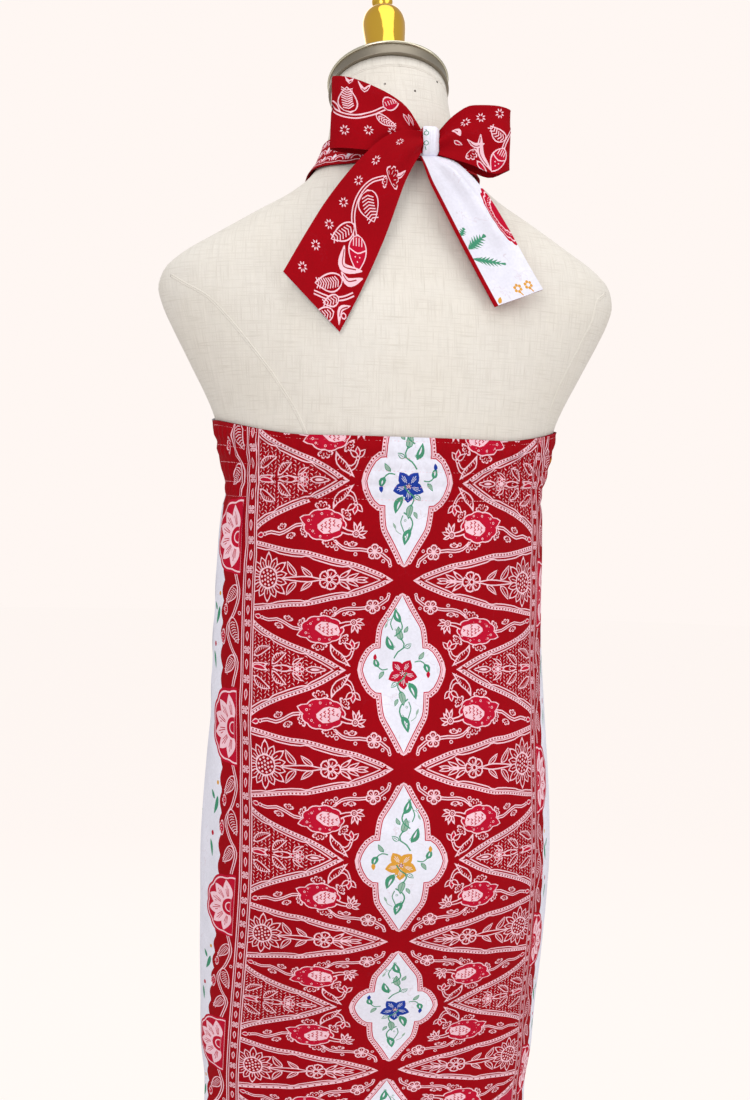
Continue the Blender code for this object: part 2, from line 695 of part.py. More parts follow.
def main():
    clear_scene()
    collection = bpy.data.collections.new("Batik dress on dress form")
    bpy.context.scene.collection.children.link(collection)
    linen = finish("Linen", (0.72, 0.67, 0.57), 0.9)
    red_batik = finish("Red batik", (0.38, 0.004, 0.012), 0.75)
    white_batik = finish("White batik", (0.83, 0.82, 0.87), 0.75)
    gold = finish("Gold", (0.83, 0.56, 0.10), 0.15, 1.0)
    nickel = finish("Nickel", (0.36, 0.34, 0.29), 0.3, 1.0)

    form = build_form(collection, linen)
    build_stand(collection, gold)
    build_neck_cap(collection, nickel, gold)

    shell = bmesh.new()
    shell.from_mesh(form.data)
    bmesh.ops.triangulate(shell, faces=shell.faces)
    tree = BVHTree.FromBMesh(shell)
    shell.free()

    build_back(collection, red_batik)
    build_front(collection, white_batik)
    neck_centre = Vector((0, 0, KNOT_HEIGHT - 0.02))
    for name, hand in (("strap_right", 1), ("strap_left", -1)):
        cloth_wall(name, strap_grid(tree, hand), red_batik, collection, neck_centre)

    strap_backs = [behind_form(tree, x, -0.006, STRAP_LIFT) for x in (-KNOT_SIZE[0] / 2, 0, KNOT_SIZE[0] / 2)]
    knot_y = min(strap_backs) - KNOT_SIZE[1] / 2 - 2 * GAP
    build_knot(collection, white_batik, knot_y)
    front_of_loops = Vector((KNOT_X, 1.0, KNOT_HEIGHT))
    for name, rows in (("loop_left", LEFT_LOOP), ("loop_right", RIGHT_LOOP)):
        cloth_wall(name, loop_grid(rows, knot_y), red_batik, collection, Vector((KNOT_X, knot_y, KNOT_HEIGHT)))
    for name, rows, colour in (
        ("tail_left", LEFT_TAIL, red_batik),
        ("tail_right", RIGHT_TAIL, white_batik),
    ):
        cloth_wall(name, tail_grid(tree, rows, knot_y), colour, collection, front_of_loops)


main()
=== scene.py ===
import math
import bmesh
import bpy
import numpy as np
from mathutils import Matrix, Vector
from mathutils.bvhtree import BVHTree
from mathutils.geometry import delaunay_2d_cdt


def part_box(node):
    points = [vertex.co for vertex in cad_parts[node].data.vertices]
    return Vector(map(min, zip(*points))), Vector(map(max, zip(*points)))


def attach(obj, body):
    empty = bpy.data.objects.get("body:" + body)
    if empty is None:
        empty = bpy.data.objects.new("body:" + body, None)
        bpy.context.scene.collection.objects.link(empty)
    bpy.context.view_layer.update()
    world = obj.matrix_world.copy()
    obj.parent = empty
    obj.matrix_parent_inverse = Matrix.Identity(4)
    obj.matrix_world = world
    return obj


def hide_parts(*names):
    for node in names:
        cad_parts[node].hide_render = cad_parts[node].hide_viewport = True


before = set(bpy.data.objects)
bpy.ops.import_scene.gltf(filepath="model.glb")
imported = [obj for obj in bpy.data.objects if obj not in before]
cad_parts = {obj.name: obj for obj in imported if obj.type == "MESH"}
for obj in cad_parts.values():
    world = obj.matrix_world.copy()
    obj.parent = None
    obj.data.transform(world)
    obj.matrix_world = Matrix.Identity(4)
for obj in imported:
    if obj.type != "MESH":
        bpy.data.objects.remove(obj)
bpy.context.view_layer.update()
bpy.ops.object.select_all(action="DESELECT")
print("frame loaded")


# camera, light and floor

cameraView = {
    "azimuth": -10.0,  # degrees round the dress, from straight behind it
    "distance": 1.35,
    "eyeHeight": 1.141,
    "pitch": -1.9,
    "roll": 1.5,
    "sideways": -0.007,
    "focalPixels": 1532.0,
    "imageHeight": 1100,
    "sensorHeight": 24.0,
}


def makeCamera():
    azimuth = math.radians(cameraView["azimuth"])
    data = bpy.data.cameras.new("photoCamera")
    data.sensor_fit = "VERTICAL"
    data.sensor_height = cameraView["sensorHeight"]
    data.lens = cameraView["focalPixels"] / cameraView["imageHeight"] * cameraView["sensorHeight"]
    camera = bpy.data.objects.new("photoCamera", data)
    bpy.context.scene.collection.objects.link(camera)
    side = Vector((math.cos(azimuth), math.sin(azimuth), 0)) * cameraView["sideways"]
    away = Vector((math.sin(azimuth), -math.cos(azimuth), 0)) * cameraView["distance"]
    turn = Matrix.Rotation(azimuth, 4, "Z")
    tip = Matrix.Rotation(math.radians(90 + cameraView["pitch"]), 4, "X")
    roll = Matrix.Rotation(math.radians(cameraView["roll"]), 4, "Z")
    place = Matrix.Translation(side + away + Vector((0, 0, cameraView["eyeHeight"])))
    camera.matrix_world = place @ turn @ tip @ roll
    bpy.context.scene.camera = camera


studioLight = {
    "backdrop": (1.0, 0.93, 0.895),
    "lampColour": (1.0, 0.985, 0.97),
    "aim": (0, 0, 1.1),
    "roomLight": 0.60,
    "key": {"place": (-1.5, -2.7, 2.5), "size": 2.2, "power": 38},
    "fill": {"place": (2.3, -2.0, 1.7), "size": 2.6, "power": 22},
    "top": {"place": (0.2, -0.4, 3.3), "size": 2.0, "power": 14},
    "rear": {"place": (0.0, 2.8, 2.4), "size": 2.6, "power": 20},
    "floorRadius": 14,
    "floorPaint": (0.80, 0.77, 0.75),
    "floorShade": (0.85, 0.80, 0.77),
    "floorGlow": 1.07,
    "floorShadow": 0.14,  # how much of the real shadow the eye sees on the floor
}


def makeLight(name, values):
    data = bpy.data.lights.new(name, "AREA")
    data.shape = "DISK"
    data.size = values["size"]
    data.energy = values["power"]
    data.color = studioLight["lampColour"]
    lamp = bpy.data.objects.new(name, data)
    bpy.context.scene.collection.objects.link(lamp)
    place = Vector(values["place"])
    look = (Vector(studioLight["aim"]) - place).to_track_quat("-Z", "Y")
    lamp.matrix_world = Matrix.Translation(place) @ look.to_matrix().to_4x4()


def seenAndLit(tree, seen, lit, output):
    # the eye sees one shader, and every other ray meets the other
    rays = tree.nodes.new("ShaderNodeLightPath")
    either = tree.nodes.new("ShaderNodeMixShader")
    tree.links.new(rays.outputs["Is Camera Ray"], either.inputs[0])
    tree.links.new(lit.outputs[0], either.inputs[1])
    tree.links.new(seen.outputs[0], either.inputs[2])
    tree.links.new(either.outputs[0], tree.nodes[output].inputs["Surface"])


def makeStudio():
    backdrop = (*studioLight["backdrop"], 1)
    world = bpy.data.worlds.new("studio")
    bpy.context.scene.world = world
    world.use_nodes = True
    # the backdrop is bright to the eye, and softer as a light
    seen = world.node_tree.nodes["Background"]
    seen.inputs["Color"].default_value = backdrop
    room = addNode(
        world.node_tree, "ShaderNodeBackground",
        Color=(*studioLight["lampColour"], 1), Strength=studioLight["roomLight"],
    )
    seenAndLit(world.node_tree, seen, room, "World Output")
    bpy.context.scene.view_settings.view_transform = "Standard"
    for name in ("key", "fill", "top", "rear"):
        makeLight(name + "Light", studioLight[name])
    bpy.ops.mesh.primitive_circle_add(
        vertices=96, radius=studioLight["floorRadius"], fill_type="NGON", location=(0, 0, 0)
    )
    floor = bpy.context.object
    floor.name = "studioFloor"
    # the eye sees a floor that almost melts into the backdrop
    paint = plainMaterial("floorPaint", studioLight["floorPaint"], 0.8)
    tree = paint.node_tree
    glow = addNode(tree, "ShaderNodeEmission", Color=backdrop, Strength=studioLight["floorGlow"])
    shade = addNode(tree, "ShaderNodeBsdfDiffuse", Color=(*studioLight["floorShade"], 1))
    soft = tree.nodes.new("ShaderNodeMixShader")
    soft.inputs[0].default_value = studioLight["floorShadow"]
    tree.links.new(glow.outputs[0], soft.inputs[1])
    tree.links.new(shade.outputs[0], soft.inputs[2])
    seenAndLit(tree, soft, tree.nodes["Principled BSDF"], "Material Output")
    floor.data.materials.append(paint)


# colours and shared shader groups

def fromScreen(red, green, blue):
    linear = []
    for value in (red, green, blue):
        share = value / 255
        linear.append(share / 12.92 if share <= 0.04045 else ((share + 0.055) / 1.055) ** 2.4)
    return tuple(linear)


# the dyes of the print, by name
dyes = {
    "red": fromScreen(157, 0, 16),
    "wax": fromScreen(247, 205, 218),
    "crimson": fromScreen(190, 14, 48),
    "white": fromScreen(236, 236, 250),
    "green": fromScreen(70, 148, 116),
    "paleGreen": fromScreen(150, 180, 165),
    "blue": fromScreen(32, 62, 160),
    "gold": fromScreen(222, 160, 62),
    "rose": fromScreen(182, 34, 62),
    "wine": fromScreen(110, 0, 12),
}
dyeNames = list(dyes)
dyeNumber = {name: number for number, name in enumerate(dyeNames)}


def addNode(tree, kind, **inputs):
    node = tree.nodes.new(kind)
    for name, value in inputs.items():
        node.inputs[name.replace("_", " ")].default_value = value
    return node


def newGroup(name, inputs, outputs):
    group = bpy.data.node_groups.new(name, "ShaderNodeTree")
    for socket, kind, value in inputs:
        made = group.interface.new_socket(socket, in_out="INPUT", socket_type=kind)
        made.default_value = value
    for socket, kind in outputs:
        group.interface.new_socket(socket, in_out="OUTPUT", socket_type=kind)
    start = group.nodes.new("NodeGroupInput")
    end = group.nodes.new("NodeGroupOutput")
    return group, start, end


def placeGroup(tree, group, **values):
    node = tree.nodes.new("ShaderNodeGroup")
    node.node_tree = group
    for name, value in values.items():
        node.inputs[name].default_value = value
    return node


def mathNode(tree, operation, *values):
    node = tree.nodes.new("ShaderNodeMath")
    node.operation = operation
    for socket, value in zip(node.inputs, values):
        if isinstance(value, (int, float)):
            socket.default_value = value
        else:
            tree.links.new(value, socket)
    return node.outputs[0]


def scaleColour(tree, colour, factor):
    node = tree.nodes.new("ShaderNodeVectorMath")
    node.operation = "SCALE"
    tree.links.new(colour, node.inputs[0])
    tree.links.new(factor, node.inputs["Scale"])
    return node.outputs[0]


def addNoise(tree, vector, **values):
    node = addNode(tree, "ShaderNodeTexNoise", **values)
    tree.links.new(vector, node.inputs["Vector"])
    return node.outputs["Fac"]


def pushAbout(tree, vector, reach, **values):
    # a coordinate that noise moves a little
    noise = addNoise(tree, vector, **values).node
    node = tree.nodes.new("ShaderNodeVectorMath")
    node.operation = "MULTIPLY_ADD"
    tree.links.new(noise.outputs["Color"], node.inputs[0])
    node.inputs[1].default_value = reach
    tree.links.new(vector, node.inputs[2])
    return node.outputs[0]


def stretchCoordinate(tree, vector, scale):
    node = addNode(tree, "ShaderNodeMapping", Scale=scale)
    tree.links.new(vector, node.inputs["Vector"])
    return node.outputs[0]


def spanShare(tree, value, low, high, first=0.0, last=1.0):
    node = addNode(tree, "ShaderNodeMapRange", From_Min=low, From_Max=high, To_Min=first, To_Max=last)
    tree.links.new(value, node.inputs["Value"])
    return node.outputs[0]


def addBump(tree, height, strength, distance):
    node = addNode(tree, "ShaderNodeBump", Strength=strength, Distance=distance)
    tree.links.new(height, node.inputs["Height"])
    tree.links.new(node.outputs["Normal"], tree.nodes["Principled BSDF"].inputs["Normal"])


def mixColour(tree, share, first, second):
    node = tree.nodes.new("ShaderNodeMix")
    node.data_type = "RGBA"
    for socket, value in ((node.inputs[0], share), (node.inputs[6], first), (node.inputs[7], second)):
        if hasattr(value, "links"):
            tree.links.new(value, socket)
        elif isinstance(value, (int, float)):
            socket.default_value = value
        else:
            socket.default_value = (*value, 1)
    return node.outputs[2]


def makeWeaveGroup():
    # a plain weave: threads that pass over and under each other, along a flat coordinate in metres
    group, start, end = newGroup(
        "plainWeave",
        [
            ("Vector", "NodeSocketVector", (0, 0, 0)),
            ("Threads", "NodeSocketFloat", 2000.0),
            ("Slub", "NodeSocketFloat", 0.4),
        ],
        [("Height", "NodeSocketFloat")],
    )
    flat = start.outputs["Vector"]
    split = group.nodes.new("ShaderNodeSeparateXYZ")
    group.links.new(pushAbout(group, flat, (0.0007, 0.0007, 0.0), Scale=90.0, Detail=1.0), split.inputs[0])
    waves = []
    for axis in ("X", "Y"):
        threads = mathNode(group, "MULTIPLY", split.outputs[axis], start.outputs["Threads"])
        waves.append(mathNode(group, "SINE", mathNode(group, "MULTIPLY", threads, math.pi)))
    crossing = mathNode(group, "MULTIPLY", *waves)
    slub = addNoise(group, stretchCoordinate(group, flat, (1.0, 0.12, 1.0)), Scale=260.0, Detail=2.0)
    slubbed = mathNode(group, "MULTIPLY", slub, start.outputs["Slub"])
    height = mathNode(group, "ADD", mathNode(group, "MULTIPLY", crossing, 0.5), slubbed)
    group.links.new(height, end.inputs["Height"])
    return group


def makeDyeGroup():
    # batik dye: it soaks in unevenly, and the wax leaves fine cracks
    group, start, end = newGroup(
        "batikDye",
        [
            ("Color", "NodeSocketColor", (1, 1, 1, 1)),
            ("Vector", "NodeSocketVector", (0, 0, 0)),
            ("Mottle", "NodeSocketFloat", 0.25),
            ("Crackle", "NodeSocketFloat", 0.2),
        ],
        [("Color", "NodeSocketColor"), ("Mask", "NodeSocketFloat")],
    )
    flat = start.outputs["Vector"]
    broad = addNoise(group, flat, Scale=26.0, Detail=3.0, Roughness=0.6)
    fine = addNoise(group, flat, Scale=420.0, Detail=2.0)
    soak = mathNode(group, "ADD", mathNode(group, "MULTIPLY", broad, 0.65), mathNode(group, "MULTIPLY", fine, 0.35))
    gain = mathNode(group, "MULTIPLY_ADD", mathNode(group, "SUBTRACT", soak, 0.5), start.outputs["Mottle"], 1.0)
    # cracks run where two noise cells meet
    crack = addNode(group, "ShaderNodeTexVoronoi", Scale=34.0)
    crack.feature = "DISTANCE_TO_EDGE"
    group.links.new(pushAbout(group, flat, (0.03, 0.03, 0.03), Scale=70.0, Detail=3.0), crack.inputs["Vector"])
    thin = spanShare(group, crack.outputs["Distance"], 0.0, 0.02, 1.0, 0.0)
    patchy = mathNode(group, "GREATER_THAN", broad, 0.53)
    cracked = mathNode(group, "MULTIPLY", mathNode(group, "MULTIPLY", thin, patchy), start.outputs["Crackle"])
    stained = mixColour(group, cracked, scaleColour(group, start.outputs["Color"], gain), (0.30, 0.02, 0.04))
    group.links.new(stained, end.inputs["Color"])
    group.links.new(soak, end.inputs["Mask"])
    return group


def newMaterial(name, **values):
    material = bpy.data.materials.new(name)
    material.use_nodes = True
    shader = material.node_tree.nodes["Principled BSDF"]
    for socket, value in values.items():
        shader.inputs[socket.replace("_", " ")].default_value = value
    return material, material.node_tree, shader


def plainMaterial(name, colour, roughness):
    return newMaterial(name, Base_Color=(*colour, 1), Roughness=roughness)[0]


weaveGroup = makeWeaveGroup()
dyeGroup = makeDyeGroup()

batikFinish = {
    "threadsPerMetre": 2600.0, "weaveDepth": 0.00009, "slub": 0.7, "paintedWeaveShade": 0.10,
    "roughness": 0.76, "gloss": 0.09, "mottle": 0.5, "crackle": 0.16,
}


def batikMaterial():
    # the colour comes from the print that is cut into the mesh, with painted shade where the weave lies low
    material, tree, shader = newMaterial("batikCotton", Specular_IOR_Level=batikFinish["gloss"])
    link = tree.links.new
    flat = tree.nodes.new("ShaderNodeUVMap")
    flat.uv_map = "clothMetres"
    dye = tree.nodes.new("ShaderNodeVertexColor")
    dye.layer_name = "print"
    soaked = placeGroup(tree, dyeGroup, Mottle=batikFinish["mottle"], Crackle=batikFinish["crackle"])
    weave = placeGroup(tree, weaveGroup, Threads=batikFinish["threadsPerMetre"], Slub=batikFinish["slub"])
    link(flat.outputs["UV"], weave.inputs["Vector"])
    link(flat.outputs["UV"], soaked.inputs["Vector"])
    link(dye.outputs["Color"], soaked.inputs["Color"])
    # painted shade: the colour darkens where the weave lies low between its threads
    shade = mathNode(tree, "MULTIPLY_ADD", weave.outputs["Height"], batikFinish["paintedWeaveShade"], 0.95)
    link(scaleColour(tree, soaked.outputs["Color"], shade), shader.inputs["Base Color"])
    rough = mathNode(tree, "MULTIPLY_ADD", soaked.outputs["Mask"], 0.12, batikFinish["roughness"])
    link(rough, shader.inputs["Roughness"])
    addBump(tree, weave.outputs["Height"], 0.5, batikFinish["weaveDepth"])
    return material


makeCamera()
makeStudio()
batik = batikMaterial()
print("camera, light and materials made")


# the shape of the form and of the dress, with the same values as the solids

# height, half width, depth to the back, depth to the front, centre, lean in degrees
formRings = [
    (0.700, 0.138, 0.082, 0.086, 0.000, 0), (0.720, 0.1435, 0.092, 0.090, 0.000, 0),
    (0.760, 0.1475, 0.107, 0.094, 0.000, 0), (0.800, 0.1490, 0.118, 0.097, 0.000, 0),
    (0.845, 0.1485, 0.1240, 0.099, 0.000, 0), (0.890, 0.1420, 0.1180, 0.099, 0.000, 0),
    (0.940, 0.1280, 0.1000, 0.097, 0.000, 0), (0.990, 0.1160, 0.0860, 0.095, 0.000, 0),
    (1.040, 0.1180, 0.0860, 0.098, 0.000, 0), (1.085, 0.1240, 0.0920, 0.104, 0.000, 0),
    (1.130, 0.1310, 0.0980, 0.110, 0.000, 0), (1.170, 0.1410, 0.1030, 0.112, 0.000, 0),
    (1.190, 0.1455, 0.1052, 0.1115, 0.000, 0), (1.210, 0.1510, 0.1070, 0.110, 0.000, 0),
    (1.228, 0.1590, 0.1078, 0.106, 0.000, 0), (1.245, 0.1680, 0.1078, 0.102, 0.000, 0),
    (1.264, 0.1780, 0.1068, 0.096, 0.000, 0), (1.283, 0.1880, 0.1040, 0.089, 0.000, 0),
    (1.302, 0.1970, 0.0990, 0.080, 0.000, 0), (1.317, 0.2010, 0.0930, 0.073, 0.000, 0),
    (1.331, 0.1970, 0.0820, 0.072, -0.005, 0), (1.344, 0.1840, 0.0730, 0.071, -0.010, 0),
    (1.364, 0.1520, 0.0610, 0.071, -0.015, 0), (1.385, 0.1170, 0.0530, 0.071, -0.018, 0),
    (1.400, 0.0920, 0.0510, 0.068, -0.017, 0), (1.416, 0.0740, 0.0520, 0.064, -0.011, 2),
    (1.432, 0.0640, 0.0530, 0.060, -0.003, 7), (1.449, 0.0580, 0.0530, 0.055, 0.006, 13),
    (1.468, 0.0540, 0.0520, 0.051, 0.015, 19), (1.488, 0.0520, 0.0505, 0.050, 0.024, 24),
    (1.502, 0.0515, 0.0500, 0.050, 0.031, 26),
]
# height, half width, depth to the back, depth to the front
dressRings = [
    (0.340, 0.130, 0.070, 0.106), (0.450, 0.132, 0.070, 0.106), (0.560, 0.134, 0.074, 0.107),
    (0.614, 0.1360, 0.079, 0.108), (0.662, 0.1440, 0.087, 0.109), (0.700, 0.1465, 0.0945, 0.110),
    (0.735, 0.1495, 0.1050, 0.111), (0.786, 0.1525, 0.1190, 0.112), (0.835, 0.1538, 0.1275, 0.113),
    (0.875, 0.1525, 0.1262, 0.115), (0.910, 0.1505, 0.1205, 0.117), (0.962, 0.1465, 0.1100, 0.120),
    (1.006, 0.1434, 0.1020, 0.123), (1.050, 0.1416, 0.0990, 0.128), (1.103, 0.1410, 0.1010, 0.134),
    (1.130, 0.1400, 0.1000, 0.134), (1.151, 0.1360, 0.0980, 0.130), (1.205, 0.1400, 0.0980, 0.112),
    (1.345, 0.1500, 0.0600, 0.050),
]
# angle in degrees, depth, spread in degrees, height at which it starts
dressFolds = [
    (-158, 0.0080, 11, 0.83), (-126, 0.0100, 9, 0.78), (-97, 0.0070, 8, 0.80), (-68, 0.0085, 9, 0.72),
    (-38, 0.0060, 10, 0.66), (-8, 0.0040, 9, 0.60), (24, 0.0055, 9, 0.64), (52, 0.0080, 8, 0.70),
    (83, 0.0075, 8, 0.80), (112, 0.0095, 9, 0.76), (143, 0.0075, 10, 0.82), (172, 0.0060, 9, 0.72),
]
dressCut = {
    "hem": 0.340,
    "backTop": 1.192,
    "sideTop": 1.205,
    "cloth": 0.0013,  # thickness of the cloth's wall
    "ease": 0.0027,  # from the form to the outside of the cloth
    "seamGap": 0.0003,
    "sideReach": 0.14,  # from the middle of the dress to a side seam
    "squareness": 2.2,  # 2 is an ellipse
    "settle": 0.002,  # how softly the hanging cloth comes to rest on the form
    "casingRows": (1.1885, 1.1750, 1.1645, 1.1520, 1.1410),
    "casingPuff": 0.0013,
}
bust = {"apart": 0.068, "height": 1.120, "rise": 0.020, "spread": 0.046}


def smoothTable(rows, at):
    # every column as a smooth curve over the first, without overshoot
    table = np.array(sorted(rows), float)
    keys = table[:, 0]
    at = np.clip(np.asarray(at, float), keys[0], keys[-1])
    index = np.clip(np.searchsorted(keys, at, side="right") - 1, 0, len(keys) - 2)
    span = np.diff(keys)
    part = (at - keys[index]) / span[index]
    columns = []
    for values in table.T[1:]:
        slope = np.diff(values) / span
        tangent = np.zeros(len(values))
        sameWay = slope[:-1] * slope[1:] > 0
        total = np.where(sameWay, slope[:-1] + slope[1:], 1.0)
        tangent[1:-1] = np.where(sameWay, 2 * slope[:-1] * slope[1:] / total, 0.0)
        tangent[0] = slope[0]
        tangent[-1] = slope[-1]
        rise = span[index] * tangent[index]
        fall = span[index] * tangent[index + 1]
        columns.append(
            values[index] * (2 * part**3 - 3 * part**2 + 1)
            + rise * (part**3 - 2 * part**2 + part)
            + values[index + 1] * (3 * part**2 - 2 * part**3)
            + fall * (part**3 - part**2)
        )
    return columns


def easeIn(value):
    value = np.clip(value, 0.0, 1.0)
    return value * value * (3 - 2 * value)


def bustSwell(x, z):
    swell = 0.0
    up = ((z - bust["height"]) / bust["spread"]) ** 2
    for middle in (-bust["apart"], bust["apart"]):
        swell = swell + bust["rise"] * np.exp(-(((x - middle) / bust["spread"]) ** 2) - up)
    return swell


def formRing(z, angle):
    half, back, front, centre, lean = smoothTable(formRings, z)
    x = half * np.sin(angle)
    y = -np.where(np.cos(angle) > 0, back, front) * np.cos(angle)
    y = y + bustSwell(x, z) * easeIn(-np.cos(angle) * 2)
    lean = np.radians(lean)
    return np.stack([x, centre + y * np.cos(lean), z - y * np.sin(lean)], axis=-1)


def formReach(z, angles):
    ring = formRing(z, np.linspace(0, 2 * math.pi, 360, endpoint=False))
    around = np.arctan2(ring[:, 0], -ring[:, 1])
    order = np.argsort(around)
    return np.interp(angles, around[order], np.hypot(ring[:, 0], ring[:, 1])[order], period=2 * math.pi)


def dressReach(z, angles):
    half, back, front = smoothTable(dressRings, z)
    depth = np.where(np.cos(angles) > 0, back, front)
    power = dressCut["squareness"]
    hanging = ((np.abs(np.sin(angles)) / half) ** power + (np.abs(np.cos(angles)) / depth) ** power) ** (-1 / power)
    for middle, deep, spread, starts in dressFolds:
        turn = (np.degrees(angles) - middle + 180) % 360 - 180
        grown = easeIn((starts - z) / (starts - dressCut["hem"]))
        hanging = hanging + deep * grown * np.exp(-((turn / spread) ** 2))
    step = 0.004
    slope = (formReach(z + step, angles) - formReach(z - step, angles)) / (2 * step)
    resting = formReach(z, angles) + dressCut["ease"] * np.sqrt(1 + slope**2)
    return (hanging + resting + np.sqrt((hanging - resting) ** 2 + dressCut["settle"] ** 2)) / 2


# the dress as a table of heights and angles, and the way round it at each height
tableStep = 0.0025
tableHeights = np.arange(0.330, 1.3561, tableStep)
tableAngles = np.linspace(-2 * math.pi, 2 * math.pi, 1441)
tableReach = np.array([dressReach(z, tableAngles) for z in tableHeights])
tableWays = np.linspace(-0.34, 0.34, 1361)


def wayTable(startAngle):
    # angles at which the cloth is this far round from its middle line
    angles = []
    for reach in tableReach:
        x = reach * np.sin(tableAngles)
        y = -reach * np.cos(tableAngles)
        step = np.hypot(np.diff(x), np.diff(y))
        way = np.concatenate([[0], np.cumsum(step)])
        way = way - np.interp(startAngle, tableAngles, way)
        angles.append(np.interp(tableWays, way, tableAngles))
    return np.array(angles)


def readTable(table, columns, column, height):
    # the table's value between its rows and columns
    row = np.clip((height - tableHeights[0]) / (tableHeights[1] - tableHeights[0]), 0, len(tableHeights) - 1.001)
    place = np.clip((column - columns[0]) / (columns[1] - columns[0]), 0, len(columns) - 1.001)
    i = row.astype(int)
    j = place.astype(int)
    a = row - i
    b = place - j
    low = table[i, j] * (1 - b) + table[i, j + 1] * b
    high = table[i + 1, j] * (1 - b) + table[i + 1, j + 1] * b
    return low * (1 - a) + high * a


def onDress(angle, z, lift=0.0):
    angle = np.asarray(angle, float)
    z = np.asarray(z, float) + 0 * angle
    reach = readTable(tableReach, tableAngles, angle, z) + lift
    return np.stack([reach * np.sin(angle), -reach * np.cos(angle), z], axis=-1)


def dressFrame(angle, z, turn=0.012):
    # across, upwards and outwards at each place of the dress
    across = onDress(angle + turn, z) - onDress(angle - turn, z)
    upwards = onDress(angle, z + tableStep) - onDress(angle, z - tableStep)
    across = across / np.linalg.norm(across, axis=-1, keepdims=True)
    outwards = np.cross(across, upwards)
    outwards = outwards / np.linalg.norm(outwards, axis=-1, keepdims=True)
    return across, np.cross(outwards, across), outwards


backWays = wayTable(0.0)
frontWays = wayTable(math.pi)
halfGap = dressCut["seamGap"] / 2 / dressCut["sideReach"]  # half the gap at a side seam, as an angle
print("dress surface measured")


# drawing the print flat, in millimetres

def curve(points, step=2.8):
    # a smooth line through the points
    points = np.array(points, float)
    points = np.concatenate([[2 * points[0] - points[1]], points, [2 * points[-1] - points[-2]]])
    line = []
    for a, b, c, d in zip(points, points[1:], points[2:], points[3:]):
        count = max(1, round(float(np.hypot(*(c - b))) / step))
        t = (np.arange(count) / count)[:, None]
        line.append(0.5 * (2 * b + (c - a) * t + (2 * a - 5 * b + 4 * c - d) * t**2 + (3 * b - a - 3 * c + d) * t**3))
    return np.concatenate(line + [points[-2:-1]])


def moveSideways(line, distance):
    along = np.diff(line, axis=0)
    along = along / np.maximum(np.hypot(along[:, 0], along[:, 1]), 1e-9)[:, None]
    side = np.stack([-along[:, 1], along[:, 0]], axis=1)
    middle = np.concatenate([side[:1], side]) + np.concatenate([side, side[-1:]])
    length = np.maximum((middle * middle).sum(1), 0.35)
    return line + distance * 2 * middle / length[:, None]


def heading(angle):
    return np.array([math.cos(angle), math.sin(angle)])


def leftOf(way):
    return np.array([-way[1], way[0]])


